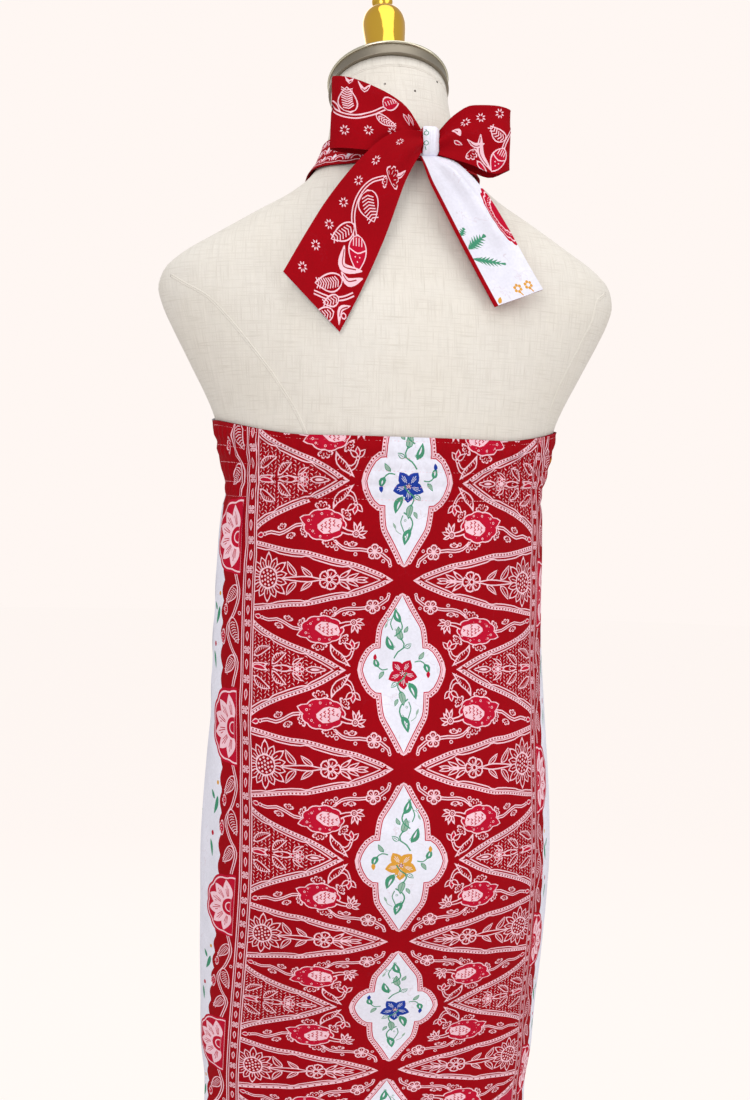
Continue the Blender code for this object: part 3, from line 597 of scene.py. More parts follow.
class Drawing:
    # flat shapes in the order in which a painter lays them
    def __init__(self):
        self.shapes = []

    def fill(self, outline, dye):
        self.shapes.append((np.asarray(outline, float), dyeNumber[dye]))

    def stroke(self, points, width=1.0, dye="wax", step=2.8, smooth=True):
        line = curve(points, step) if smooth else np.asarray(points, float)
        left = moveSideways(line, width / 2)
        right = moveSideways(line, -width / 2)
        side = left - right
        turns = np.abs(np.diff(np.unwrap(np.arctan2(side[:, 1], side[:, 0]))))
        turn = np.concatenate([[0], np.cumsum(turns)])
        # a line that curls is drawn in pieces, so that no piece crosses itself
        mostTurn = 2.4
        start = 0
        while start < len(line) - 1:
            end = start + 1
            while end < len(line) - 1 and turn[end + 1] - turn[start] < mostTurn:
                end += 1
            part = slice(start, end + 1)
            self.fill(np.concatenate([left[part], right[part][::-1]]), dye)
            start = end

    def disc(self, centre, radius, dye="wax", sides=6, turn=0.0):
        angle = turn + np.arange(sides) * 2 * math.pi / sides
        self.fill(np.stack([centre[0] + radius * np.cos(angle), centre[1] + radius * np.sin(angle)], 1), dye)

    def ring(self, centre, radius, line=0.75, inside="red", sides=7, dye="wax"):
        self.disc(centre, radius, dye, sides)
        self.disc(centre, radius - line, inside, sides)

    def leaf(self, base, tip, width, bend=0.0, inside="red", line=0.9, vein=0.0, dye="wax", step=2.6):
        base = np.array(base, float)
        tip = np.array(tip, float)
        along = tip - base
        long = max(float(np.hypot(*along)), 1e-9)
        side = leftOf(along) / long
        count = max(4, round(long / step))
        t = np.linspace(0, 1, count + 1)
        middle = base + along * t[:, None] + side * (bend * np.sin(math.pi * t))[:, None]
        half = width / 2 * np.sin(math.pi * t**0.8) ** 0.85
        left, right = middle + side * half[:, None], middle - side * half[:, None]
        self.fill(np.concatenate([left, right[-2:0:-1]]), dye)
        inner = np.maximum(half - line, 0)
        keep = inner > 0.25
        keep[0] = keep[-1] = False
        if inside and keep.sum() >= 2:
            m = middle[keep]
            h = inner[keep][:, None]
            first = m[0] - along / long * min(1.2, line)
            last = m[-1] + along / long * min(1.6, line * 1.6)
            self.fill(np.concatenate([[first], m + side * h, [last], (m - side * h)[::-1]]), inside)
        if vein > 0:
            self.stroke([middle[1], middle[-2]], vein, dye, smooth=False)
        return middle

    def petals(self, centre, count, inner, outer, width, turn=0.0, line=0.9):
        centre = np.array(centre, float)
        for number in range(count):
            away = heading(turn + number * 2 * math.pi / count)
            side = leftOf(away)

            def petal(span, half, spots):
                left = [centre + away * (inner + span * t) + side * half * w for t, w in spots]
                right = [centre + away * (inner + span * t) - side * half * w for t, w in spots]
                return np.array(left + right[::-1])

            long = outer - inner
            self.fill(petal(long, width / 2, ((0.0, 0.18), (0.35, 0.70), (0.72, 1.0), (1.0, 0.42))), "wax")
            spots = ((0.16, 0.15), (0.45, 0.65), (0.74, 0.9), (0.95, 0.35))
            self.fill(petal(long - line, width / 2 - line, spots), "red")
            self.stroke([centre + away * (inner + 0.4), centre + away * (inner + long * 0.62)], 0.55, smooth=False)

    def fan(self, centre, direction, radius, lobes=4, spread=2.4, inside="red"):
        # a scalloped half flower
        centre = np.array(centre)
        outline = []
        for number in range(lobes):
            middle = direction + spread * ((number + 0.5) / lobes - 0.5)
            half = spread / lobes / 2
            for turn, reach in ((-0.9, 0.84), (-0.45, 1.03), (0.45, 1.03), (0.9, 0.84)):
                outline.append(centre + heading(middle + turn * half) * radius * reach)
        for hand in (1, -1):
            outline.append(centre + heading(direction + hand * spread * 0.52) * radius * 0.35)
        outline = np.array(outline)
        self.fill(outline, "wax")
        heart = centre + heading(direction) * radius * 0.42
        shrink = max(0.2, 1 - 1.55 / radius)
        self.fill(heart + (outline - heart) * shrink, inside)
        for number in range(lobes):
            away = heading(direction + spread * ((number + 0.5) / lobes - 0.5))
            self.stroke([centre + away * radius * 0.45, centre + away * radius * 0.72], 0.55, smooth=False)

    def combs(self, line, side, start, stop, count, length, lean=0.0, width=0.55):
        # short lines on one side of a curve
        for share in np.linspace(start, stop, count):
            at = share * (len(line) - 1)
            i = min(int(at), len(line) - 2)
            spot = line[i] + (line[i + 1] - line[i]) * (at - i)
            along = (line[i + 1] - line[i]) / max(np.hypot(*(line[i + 1] - line[i])), 1e-9)
            self.stroke([spot, spot + leftOf(along) * side * length + along * lean], width, smooth=False)

    def beads(self, line, spacing, radius):
        way = np.concatenate([[0], np.cumsum(np.hypot(*np.diff(line, axis=0).T))])
        count = max(1, round(way[-1] / spacing))
        for number in range(count):
            at = (number + 0.5) / count * way[-1]
            spot = (np.interp(at, way, line[:, 0]), np.interp(at, way, line[:, 1]))
            self.disc(spot, radius, "red", 4, number * 0.9)

    def add(self, other, scale=(1, 1), shift=(0, 0), turn=0.0):
        spin = np.array([heading(turn), leftOf(heading(turn))])
        for outline, number in other.shapes:
            self.shapes.append((outline * np.array(scale) @ spin + np.array(shift), number))


def insideShape(outline, points):
    # which points have an odd number of crossings to one side
    x, y = points[:, 0, None], points[:, 1, None]
    ax, ay = outline[None, :, 0], outline[None, :, 1]
    bx, by = np.roll(ax, -1, 1), np.roll(ay, -1, 1)
    level = (ay > y) != (by > y)
    rise = np.where(by == ay, 1.0, by - ay)
    return (level & (x < ax + (y - ay) / rise * (bx - ax))).sum(1) % 2 == 1


# how the printed cloth is cut into triangles, in millimetres
cutting = {
    "merge": 0.03,  # points this close become one
    "slope": 0.09,  # how far a point may lie off a straight line and be left out, for each mm of the line
    "reach": 9.0,  # the longest straight edge
    "edgeOff": 0.12,
    "band": 20.0,
}


def thinned(outline):
    # leaves out the points that lie on the line between their neighbours
    kept = [0]
    here = 0
    while here < len(outline) - 1:
        there = here + 1
        while there + 1 < len(outline):
            chord = outline[there + 1] - outline[here]
            long = math.hypot(*chord)
            between = outline[here + 1:there + 1] - outline[here]
            off = np.abs(between[:, 0] * chord[1] - between[:, 1] * chord[0])
            if long > cutting["reach"] or off.max() > cutting["slope"] * max(long, 1e-6):
                break
            there += 1
        kept.append(there)
        here = there
    return outline[kept]


def compact(places, triangles):
    # leaves out the points that no triangle uses
    used = np.unique(triangles)
    renumber = np.zeros(len(places), int)
    renumber[used] = np.arange(len(used))
    return places[used], renumber[triangles], used


def triangulate(points, edges, frameLine):
    spots = [Vector((float(x), float(y))) for x, y in points]
    places, _, triangles, _, _, _ = delaunay_2d_cdt(spots, edges, [], 0, cutting["merge"], False)
    places = np.array([(p.x, p.y) for p in places])
    triangles = np.array(triangles)
    return compact(places, triangles[insideShape(frameLine, places[triangles].mean(1))])[:2]


def dyeTriangles(places, triangles, shapes, ground):
    # gives each triangle the dye that lies on top there
    centres = places[triangles].mean(1)
    dyeOf = np.full(len(triangles), dyeNumber[ground])
    # the triangles are kept in bands, so that a small shape looks at few of them
    band = cutting["band"]
    low = centres[:, 1].min()
    rows = ((centres[:, 1] - low) / band).astype(int)
    byBand = [np.nonzero(rows == row)[0] for row in range(rows.max() + 1)]
    for outline, number in shapes:
        least = outline.min(0)
        most = outline.max(0)
        first = max(int((least[1] - low) / band), 0)
        last = min(int((most[1] - low) / band), len(byBand) - 1)
        if last < first or most[1] < low:
            continue
        near = np.concatenate(byBand[first:last + 1])
        spot = centres[near]
        near = near[((spot >= least) & (spot <= most)).all(1)]
        if len(near):
            dyeOf[near[insideShape(outline, centres[near])]] = number
    return dyeOf


def dyeEdges(places, triangles, dyeOf):
    # the edges between two dyes, without the points that lie straight on them
    sides = np.sort(np.concatenate([triangles[:, [0, 1]], triangles[:, [1, 2]], triangles[:, [2, 0]]]), axis=1)
    dye = np.tile(dyeOf, 3)
    sides, place, count = np.unique(sides, axis=0, return_inverse=True, return_counts=True)
    place = place.ravel()
    least = np.full(len(sides), 99)
    most = np.full(len(sides), -1)
    np.minimum.at(least, place, dye)
    np.maximum.at(most, place, dye)
    rim = set(sides[count == 1].ravel().tolist())
    beside = {}
    for a, b in sides[(count == 1) | (least != most)].tolist():
        beside.setdefault(a, set()).add(b)
        beside.setdefault(b, set()).add(a)
    spots = [tuple(p) for p in places.tolist()]
    for here in sorted(beside):
        if len(beside[here]) != 2 or here in rim:
            continue
        a, b = beside[here]
        if b in beside[a]:
            continue
        (x, y), (ax, ay), (bx, by) = spots[here], spots[a], spots[b]
        long = math.hypot(bx - ax, by - ay)
        off = abs((bx - ax) * (y - ay) - (by - ay) * (x - ax))
        if long < cutting["reach"] and off < cutting["edgeOff"] * long:
            beside[a].remove(here)
            beside[b].remove(here)
            beside[a].add(b)
            beside[b].add(a)
            del beside[here]
    number = {old: new for new, old in enumerate(beside)}
    edges = [(number[a], number[b]) for a in beside for b in beside[a] if a < b]
    return places[list(beside)], edges


def cutFlat(frameLine, shapes, grid, ground):
    # cuts the flat cloth along every outline, finds the dye of each triangle, and keeps only the cuts between dyes
    points = []
    edges = []
    shapes = [(thinned(outline) if len(outline) > 6 else outline, number) for outline, number in shapes]
    for outline in [frameLine] + [shape[0] for shape in shapes]:
        first = len(points)
        count = len(outline)
        points.extend(outline.tolist())
        edges.extend((first + i, first + (i + 1) % count) for i in range(count))
    places, triangles = triangulate(points, edges, frameLine)
    points, edges = dyeEdges(places, triangles, dyeTriangles(places, triangles, shapes, ground))
    places, triangles = triangulate(np.concatenate([points, grid]), edges, frameLine)
    return places, triangles, dyeTriangles(places, triangles, shapes, ground)


def flatGrid(frameLine, spacing, margin=1.5):
    least = frameLine.min(0)
    most = frameLine.max(0)
    x, y = np.meshgrid(np.arange(least[0], most[0], spacing), np.arange(least[1], most[1], spacing))
    spots = np.stack([x.ravel(), y.ravel()], 1) + (spacing * 0.43, spacing * 0.37)
    spots = spots[insideShape(frameLine, spots)]
    gaps = np.full(len(spots), 1e9)
    for corner in frameLine:
        gaps = np.minimum(gaps, np.hypot(*(spots - corner).T))
    return spots[gaps > margin]


def edgeLoops(triangles):
    # the edges that only one triangle uses, chained round the cloth
    onward = {}
    seen = set()
    for a, b, c in triangles.tolist():
        for edge in ((a, b), (b, c), (c, a)):
            seen.add(edge)
    for a, b in seen:
        if (b, a) not in seen:
            onward[a] = b
    loops = []
    while onward:
        start, here = onward.popitem()
        loop = [start]
        while here != start:
            loop.append(here)
            here = onward.pop(here)
        loops.append(loop)
    return loops


def turning(spots, triangles):
    # above zero where a triangle runs anticlockwise
    a, b, c = (spots[triangles[:, corner]] for corner in range(3))
    return (b[:, 0] - a[:, 0]) * (c[:, 1] - a[:, 1]) - (b[:, 1] - a[:, 1]) * (c[:, 0] - a[:, 0])


def layInside(flat, loops, grid):
    # the plain inside of a cloth: triangles on the same rim, and which of their points stands under each rim point
    rim = np.array([i for loop in loops for i in loop])
    edges = []
    first = 0
    for loop in loops:
        edges += [(first + i, first + (i + 1) % len(loop)) for i in range(len(loop))]
        first += len(loop)
    spots = [Vector((float(x), float(y))) for x, y in np.concatenate([flat[rim], grid])]
    under, _, triangles, origin, _, _ = delaunay_2d_cdt(spots, edges, [], 0, 0.0001, True)
    under = np.array([(p.x, p.y) for p in under])
    triangles = np.array(triangles)
    line = flat[max(loops, key=len)]
    under, triangles, used = compact(under, triangles[insideShape(line, under[triangles].mean(1))])
    underOf = {}
    for new, old in enumerate(used):
        for source in origin[old]:
            if source < len(rim):
                underOf[int(rim[source])] = new
    return under, np.where((turning(under, triangles) < 0)[:, None], triangles[:, ::-1], triangles), underOf


def layBakeMap(mesh, share, isOut, wide):
    # the outside takes the left of the baked picture, and the inside and the edge the rest
    inner = wide + 0.01
    bake = np.where(isOut[:, None], share * (wide, 1), (inner, 0) + share * (0.99 - inner, 1))
    mesh.uv_layers.new(name="OFBake").data.foreach_set("uv", bake.ravel())


# makes one closed cloth: its printed outside, a plain inside with fewer points, and the wall between them
def clothPiece(name, flat, triangles, dyeOf, place, insideGrid, insideDye, thickness, bakeWide, placeInside=None):
    triangles = np.where((turning(flat, triangles) > 0)[:, None], triangles[:, ::-1], triangles)
    loops = edgeLoops(triangles)
    outside, outNormal = place(flat)
    under, underTriangles, underOf = layInside(flat, loops, insideGrid)
    if placeInside:
        inside, inNormal = placeInside(under)
        inNormal = -inNormal
    else:
        inside, inNormal = place(under)
        inside = inside - inNormal * thickness
    count = len(outside)
    wall = []
    for loop in loops:
        for here, there in zip(loop, loop[1:] + loop[:1]):
            if here in underOf and there in underOf:
                low, high = underOf[here] + count, underOf[there] + count
                wall += [(there, here, low), (there, low, high)]
    faces = np.concatenate([triangles, underTriangles + count, np.array(wall)])
    mesh = bpy.data.meshes.new(name)
    mesh.from_pydata(np.concatenate([outside, inside]).tolist(), [], faces.tolist())
    palette = np.array([(*dyes[n], 1.0) for n in dyeNames])
    numbers = np.concatenate([dyeOf, np.full(len(faces) - len(triangles), dyeNumber[insideDye])])
    colour = mesh.color_attributes.new("print", "FLOAT_COLOR", "CORNER")
    colour.data.foreach_set("color", np.repeat(palette[numbers], 3, axis=0).ravel())
    allFlat = np.concatenate([flat, under])
    corners = allFlat[faces.ravel()]
    mesh.uv_layers.new(name="clothMetres").data.foreach_set("uv", (corners / 1000).ravel())
    share = (corners - allFlat.min(0)) / (allFlat.max(0) - allFlat.min(0))
    layBakeMap(mesh, share, np.repeat(np.arange(len(faces)) < len(triangles), 3), bakeWide)
    mesh.materials.append(batik)
    mesh.shade_smooth()
    mesh.update()
    mesh.normals_split_custom_set_from_vertices(np.concatenate([outNormal, -inNormal]).tolist())
    piece = bpy.data.objects.new(name, mesh)
    bpy.context.scene.collection.objects.link(piece)
    a, b, c = (outside[triangles[:, corner]] for corner in range(3))
    area = float(np.linalg.norm(np.cross(b - a, c - a), axis=1).sum() / 2)
    print(name, "made of", len(faces), "triangles")
    return piece, area


# the batik print of the back

backPrint = {
    "field": 132.0,  # half width of the middle field, mm
    "half": 78.0,  # from a crossing to the middle of a medallion
    # heights of the crossings and medallions, from the top down
    "rows": (1.238, 1.156, 1.074, 1.002, 0.922, 0.851, 0.783, 0.723, 0.665, 0.607, 0.548, 0.489, 0.430, 0.371, 0.312),
    "medallionDyes": ("blue", "crimson", "gold", "blue", "crimson", "gold", "blue"),
    "borderEdge": 128.0,
    "halfFlower": 124.0,  # where the first half flower stands
    "tuckedFlower": 168.0,  # and where it stands on the side whose edge is tucked away
    "tuckedHand": 1,
    "flowerRepeat": 162.0,
    "whiteFrom": 78.0,  # the white beyond the scalloped edge starts here
    "fineRows": 8,  # the rows above the photograph's lower edge have every small mark
}
# half the outline of a medallion and of each wedge, from the axis out
medallionSide = [
    (0, 12.8), (3.2, 19.0), (7.6, 27.0), (12.2, 34.8), (15.7, 41.0), (17.0, 47.0), (17.6, 53.0), (18.0, 59.6),
]
medallionLobe = [(18.0, 59.6), (22.6, 60.0), (26.6, 63.2), (29.8, 68.2), (32.0, 73.2), (33.2, 78.0)]
openEdge = [
    (8.5, 0), (17.5, 5.4), (28, 9.6), (39, 13.6), (49, 15.8), (58, 17.6),
    (69, 20.6), (80, 23.2), (92, 24.0), (104, 25.8), (118, 28.4), (132, 30.5),
]
denseEdge = [
    (47.0, 0), (55, 5.0), (65, 11.0), (77, 16.6), (89, 20.8), (101, 25.4), (113, 30.6), (123, 36.0), (132, 43.0),
]


def toAxes(line):
    # closes a quarter of the medallion along its two axes
    line = np.array(line)
    line[0, 0] = 0.0
    line[-1, 1] = backPrint["half"]
    return np.concatenate([line, [[0.0, backPrint["half"]]]])


def drawMedallionEdge(d, fine):
    edge = np.concatenate([curve(medallionSide, 4.0), curve(medallionLobe, 4.0)[1:]])
    d.fill(toAxes(moveSideways(edge, -4.7)), "wax")
    d.beads(moveSideways(edge, -3.35)[:-1], 2.9 if fine else 5.6, 0.95)
    for out, dye in ((2.05, "red"), (1.7, "wax"), (0.85, "crimson"), (0.0, "white")):
        d.fill(toAxes(moveSideways(edge, -out)), dye)


def drawWedge(d, table, atMedallion, cusps, fine):
    # a row of beads, a fine line and a cusped line round the wedge
    edge = curve(table, 4.2)
    field = backPrint["field"]
    way, axis = (1, backPrint["half"]) if atMedallion else (-1, 0.0)
    if atMedallion:
        edge[:, 1] = axis - edge[:, 1]

    def closed(line):
        line = np.array(line)
        line[0, 1] = axis
        line[-1, 0] = field
        return np.concatenate([line, [[field, axis]]])

    d.fill(closed(edge), "wax")
    d.beads(moveSideways(edge, way * 1.3)[1:-1], 3.2 if fine else 6.0, 0.98)
    for inset, dye in ((2.45, "wine" if atMedallion else "red"), (2.85, "wax"), (3.7, "red")):
        d.fill(closed(moveSideways(edge, way * inset)), dye)
    inner = moveSideways(edge, way * 5.0)
    for cusp in cusps:
        inner[:, 1] += -way * 1.6 * np.exp(-((inner[:, 0] - cusp) / 3.0) ** 2)
    d.fill(closed(inner), "wax")
    inner = moveSideways(inner, way * 1.0)
    d.fill(closed(inner), "red" if fine or not atMedallion else "rose")
    return inner


def drawAster(d, centre, radius):
    centre = np.array(centre)
    for number in range(7):
        away = heading((number + 0.5) * math.pi / 7)
        tip = centre + away * radius * (1.32 if number % 2 else 1.14)
        d.leaf(centre + away * radius * 0.40, tip, radius * 0.44, line=0.95, step=3.6)
        d.stroke([centre + away * radius * 0.5, centre + away * radius * 0.86], 0.6, smooth=False)
    d.disc(centre, radius * 0.56, "wax", 12)
    d.disc(centre, radius * 0.50, "red", 12)
    for reach, count in ((0.0, 1), (0.2, 6), (0.38, 10)):
        for number in range(count):
            away = heading(number * 2 * math.pi / count + reach * 3)
            d.disc(centre + away * radius * reach, radius * 0.075, "wax", 4)


def drawOpenWedge(d, fine):
    drawWedge(d, openEdge, False, (46.0, 79.0, 112.0), fine)
    d.stroke([(31, 1.4), (40, 0.6), (52, 0.2)], 1.0)
    for base, tip, width, bend in (
        ((40, 0.8), (29.0, 1.8), 3.4, 0.3), ((47, 1.2), (36.5, 5.8), 3.6, 0.6), ((53, 1.5), (43.0, 8.8), 3.8, 0.6),
    ):
        d.leaf(base, tip, width, bend, line=0.8)
    d.stroke([(68, 0.5), (78, 2.2), (90, 1.6), (100, 0.4)], 1.0)
    d.leaf((74, 2.0), (84.5, 10.5), 5.0, -0.8, line=0.9, vein=0.55)
    d.leaf((88, 2.4), (97.0, 14.5), 6.2, -1.2, line=0.9, vein=0.55)
    d.petals((60.5, 0.0), 5, 1.6, 8.8, 8.6, math.pi)
    d.ring((60.5, 0.0), 2.4, 0.8)
    drawAster(d, (115.0, 0.0), 16.6)


def drawCurls(d, field):
    # short curls fill the ground of a wedge
    half = backPrint["half"]
    rng = np.random.default_rng(7)
    for row, x in enumerate(np.arange(64, 131, 3.65)):
        top = np.interp(x, field[:, 0], half - field[:, 1]) - 1.2
        for height in np.arange(0.8 + (row % 2) * 1.6, top, 3.25):
            along = heading(rng.uniform(-0.5, 0.5) + (0.9 if row % 2 else -0.7)) * 1.75
            across = leftOf(along) * (0.62 if row % 2 else -0.62)
            spot = np.array([x + rng.uniform(-0.4, 0.4), half - height])
            back, front = spot - across * 0.1, spot + across * 0.55
            d.fill([spot - along - across * 0.35, back, spot + along - across * 0.35, front], "wax")


def drawDenseWedge(d, fine):
    field = drawWedge(d, denseEdge, True, (79.0, 112.0), fine)
    half = backPrint["half"]
    if fine:
        drawCurls(d, field)
    d.leaf((80, half), (62.5, half), 6.0, 0.0, "red", 0.9)
    d.leaf((76, half), (67.5, half), 2.4, 0.0, None, 0.0)
    for angle in (math.pi, math.pi * 1.33, math.pi * 1.66, 2 * math.pi):
        d.ring(np.array((86.5, half)) + heading(angle) * 4.2, 2.1, 0.75, "crimson", 6)
    d.disc((86.5, half), 2.2, "wax", 6)
    d.leaf((91, half - 3.0), (82.0, half - 9.5), 3.6, 0.6, "red", 0.8)
    d.stroke([(91, half - 1.2), (99, half - 2.6), (108, half - 0.8)], 1.0)
    middle = d.leaf((109, half - 2.5), (95.5, half - 13.0), 6.6, 1.6, "red", 0.9)
    d.combs(middle, 1, 0.2, 0.8, 6 if fine else 3, 2.4, 0.8)
    middle = d.leaf((127, half - 8.0), (110, half - 17.0), 7.4, 1.6, "red", 0.9)
    d.combs(middle, 1, 0.2, 0.8, 7 if fine else 3, 2.6, 0.8)
    d.leaf((129, half - 1.0), (112, half - 3.0), 5.0, -1.2, "crimson", 0.9)


def drawDoubleStem(d, points, shifts):
    for shift in shifts:
        d.stroke([(x, v + shift) for x, v in points], 0.95, step=4.0)


def drawBud(d, fine):
    # the scaly bud with its collar, between the two wedges
    centre = np.array([66.0, 43.5])
    drawDoubleStem(d, [(82, 44.6), (90, 43.8), (97, 40.0), (105, 36.8), (113, 38.0), (119.5, 36.4)], (0.0, -1.95))
    d.fan((95.5, 37.4), -1.9, 5.4, 3, 2.3)
    d.fan((101.8, 38.8), 1.2, 5.4, 3, 2.3)
    d.ring((119.6, 35.4), 1.8, 0.7)
    d.leaf((120.5, 35.2), (127.5, 33.8), 4.8, 0.0, "crimson", 0.9)
    for place, angle, radius, spread in (
        ((60.5, 33.2), -1.5, 7.6, 2.5), ((68.6, 54.2), 1.7, 7.6, 2.4),
        ((51.0, 49.8), 2.45, 6.4, 2.5), ((80.0, 39.6), -0.35, 6.2, 2.5),
    ):
        d.fan(place, angle, radius, 4, spread)
    outline = []
    lobes = 9
    tipAngle, tipWide = 0.38, 0.34
    for number in range(lobes * 4):
        angle = 2 * math.pi * number / (lobes * 4)
        wave = 0.98 + 0.085 * abs(math.sin(lobes * angle / 2))
        reach = np.array([17.2 * math.cos(angle), 12.2 * math.sin(angle)]) * wave
        if abs(angle - tipAngle) < tipWide:
            reach = reach * (1 + 0.26 * (1 - abs(angle - tipAngle) / tipWide))
        outline.append(centre + reach)
    outline = np.array(outline)
    d.fill(outline, "wax")
    d.fill(centre + (outline - centre) * np.array([0.945, 0.925]), "crimson")
    for x, v, radius in (
        (13.2, 3.2, 1.2), (9.4, -5.0, 1.1), (3.0, -9.0, 1.1), (10.4, 6.6, 1.0),
        (2.2, 8.6, 1.15), (-6.0, 8.6, 1.0), (-13.2, 4.4, 1.0),
    ):
        d.ring(centre + (x, v), radius, 0.5, "crimson", 5)
    if fine:
        rng = np.random.default_rng(3)
        for number in range(14):
            angle = 2 * math.pi * number / 14
            spot = centre + np.array([14.0 * math.cos(angle), 9.7 * math.sin(angle)]) * rng.uniform(0.78, 1.04)
            d.disc(spot, 0.38, "wax", 3, angle)
    core = centre + np.array([-4.6, -0.6])
    seed = []
    for number in range(14):
        angle = 2 * math.pi * number / 14
        x, y = np.array([10.4 * math.cos(angle), 6.2 * math.sin(angle)]) * (1 + 0.06 * math.sin(5 * angle))
        seed.append(core + (x * 0.95 + y * 0.30, y * 0.95 - x * 0.22))
    d.fill(seed, "wax")
    for column, x in enumerate((-7.0, -3.6, -0.2, 3.2, 6.2)):
        for v in (-4.4, -1.5, 1.4, 4.2):
            if abs(v + 0.2) > 5.2 - 0.55 * abs(x):
                continue
            spot = core + np.array([x, v - x * 0.22 + (1.4 if column % 2 else 0)])
            d.stroke([spot + (-0.8, -1.25), spot + (0.9, -0.1), spot + (-0.6, 1.1)], 0.75, "crimson", 9)


def drawClaw(d):
    # the stem towards the middle ends in a ring with fingers
    d.fill([(52.0, 37.4), (47.0, 36.0), (42.4, 35.5), (42.2, 39.0), (47.0, 40.2), (51.0, 42.6)], "wax")
    d.fill([(52.4, 38.6), (47.0, 37.0), (42.6, 36.5), (42.4, 38.0), (47.0, 39.1), (51.4, 41.2)], "red")
    claw = np.array([40.2, 36.9])
    for angle, reach, width in (
        (2.35, 8.8, 3.2), (2.9, 9.4, 3.6), (-2.75, 8.6, 3.0), (1.9, 10.4, 3.2), (1.35, 9.8, 3.0),
    ):
        d.leaf(claw + heading(angle) * 1.5, claw + heading(angle) * reach, width, 0.5, "red", 0.85)
    d.ring(claw, 3.1, 0.95)
    d.ring(claw, 1.3, 0.6, "red", 5)


def drawGarland(d):
    # the garland towards the crossing
    stem = [(56.6, 30.0), (51.0, 25.2), (44.0, 23.4), (37.0, 23.6), (30.5, 22.8), (27.0, 21.4)]
    drawDoubleStem(d, stem, (0.0, 1.95))
    d.ring((55.6, 25.0), 1.9, 0.75, sides=6)
    d.ring((48.0, 29.6), 1.7, 0.75, sides=6)
    d.fan((42.6, 26.4), 1.5, 4.6, 3, 2.5)
    d.ring((40.2, 20.8), 1.7, 0.75, sides=6)
    d.petals((24.8, 22.8), 5, 0.8, 6.4, 6.0, 0.3)
    d.disc((24.8, 22.8), 1.5, "wax", 6)
    d.stroke([(20.0, 20.6), (16.8, 18.2), (13.8, 15.8), (12.6, 12.9)], 0.95)
    d.stroke([(18.6, 22.0), (15.4, 19.6), (12.2, 17.0), (10.9, 13.0)], 0.9)
    d.ring((17.6, 15.4), 1.7, 0.75, sides=6)
    d.ring((11.7, 12.0), 1.6, 0.8, sides=6)
    d.ring((15.6, 23.8), 1.5, 0.7, sides=6)


def drawTrefoil(d, fine):
    # the comb leaf, its curled stem and the trefoil
    front = curve([(59.4, 55.4), (59.6, 62.0), (55.6, 69.0), (43.2, 75.4)], 3.4)
    back = curve([(59.4, 55.4), (55.2, 60.4), (49.6, 64.6), (43.2, 75.4)], 3.4)
    d.fill(np.concatenate([front, back[-2:0:-1]]), "wax")
    d.fill(np.concatenate([moveSideways(front, 1.0)[1:-1], moveSideways(back, -1.0)[-2:0:-1]]), "red")
    d.combs(back, -1, 0.12, 0.85, 9 if fine else 5, 3.0, 1.2)
    d.stroke([(46.4, 70.6), (43.4, 68.6), (41.4, 64.6), (40.8, 62.0)], 0.9)
    d.stroke([(49.8, 66.0), (46.4, 66.8), (43.8, 65.0), (42.6, 62.0)], 0.9)
    foot = np.array([41.4, 60.4])
    for angle, dye in ((-2.3, "red"), (-1.5, "crimson"), (-0.7, "red")):
        d.leaf(foot, foot + heading(angle) * 8.8, 5.0, 0.0, dye, 0.9)
    d.ring((41.4, 61.0), 1.7, 0.7, sides=6)


def drawQuarter(fine):
    d = Drawing()
    drawMedallionEdge(d, fine)
    drawOpenWedge(d, fine)
    drawDenseWedge(d, fine)
    drawBud(d, fine)
    drawClaw(d)
    drawGarland(d)
    drawTrefoil(d, fine)
    return d


bouquetHeart = (0.0, 7.6)


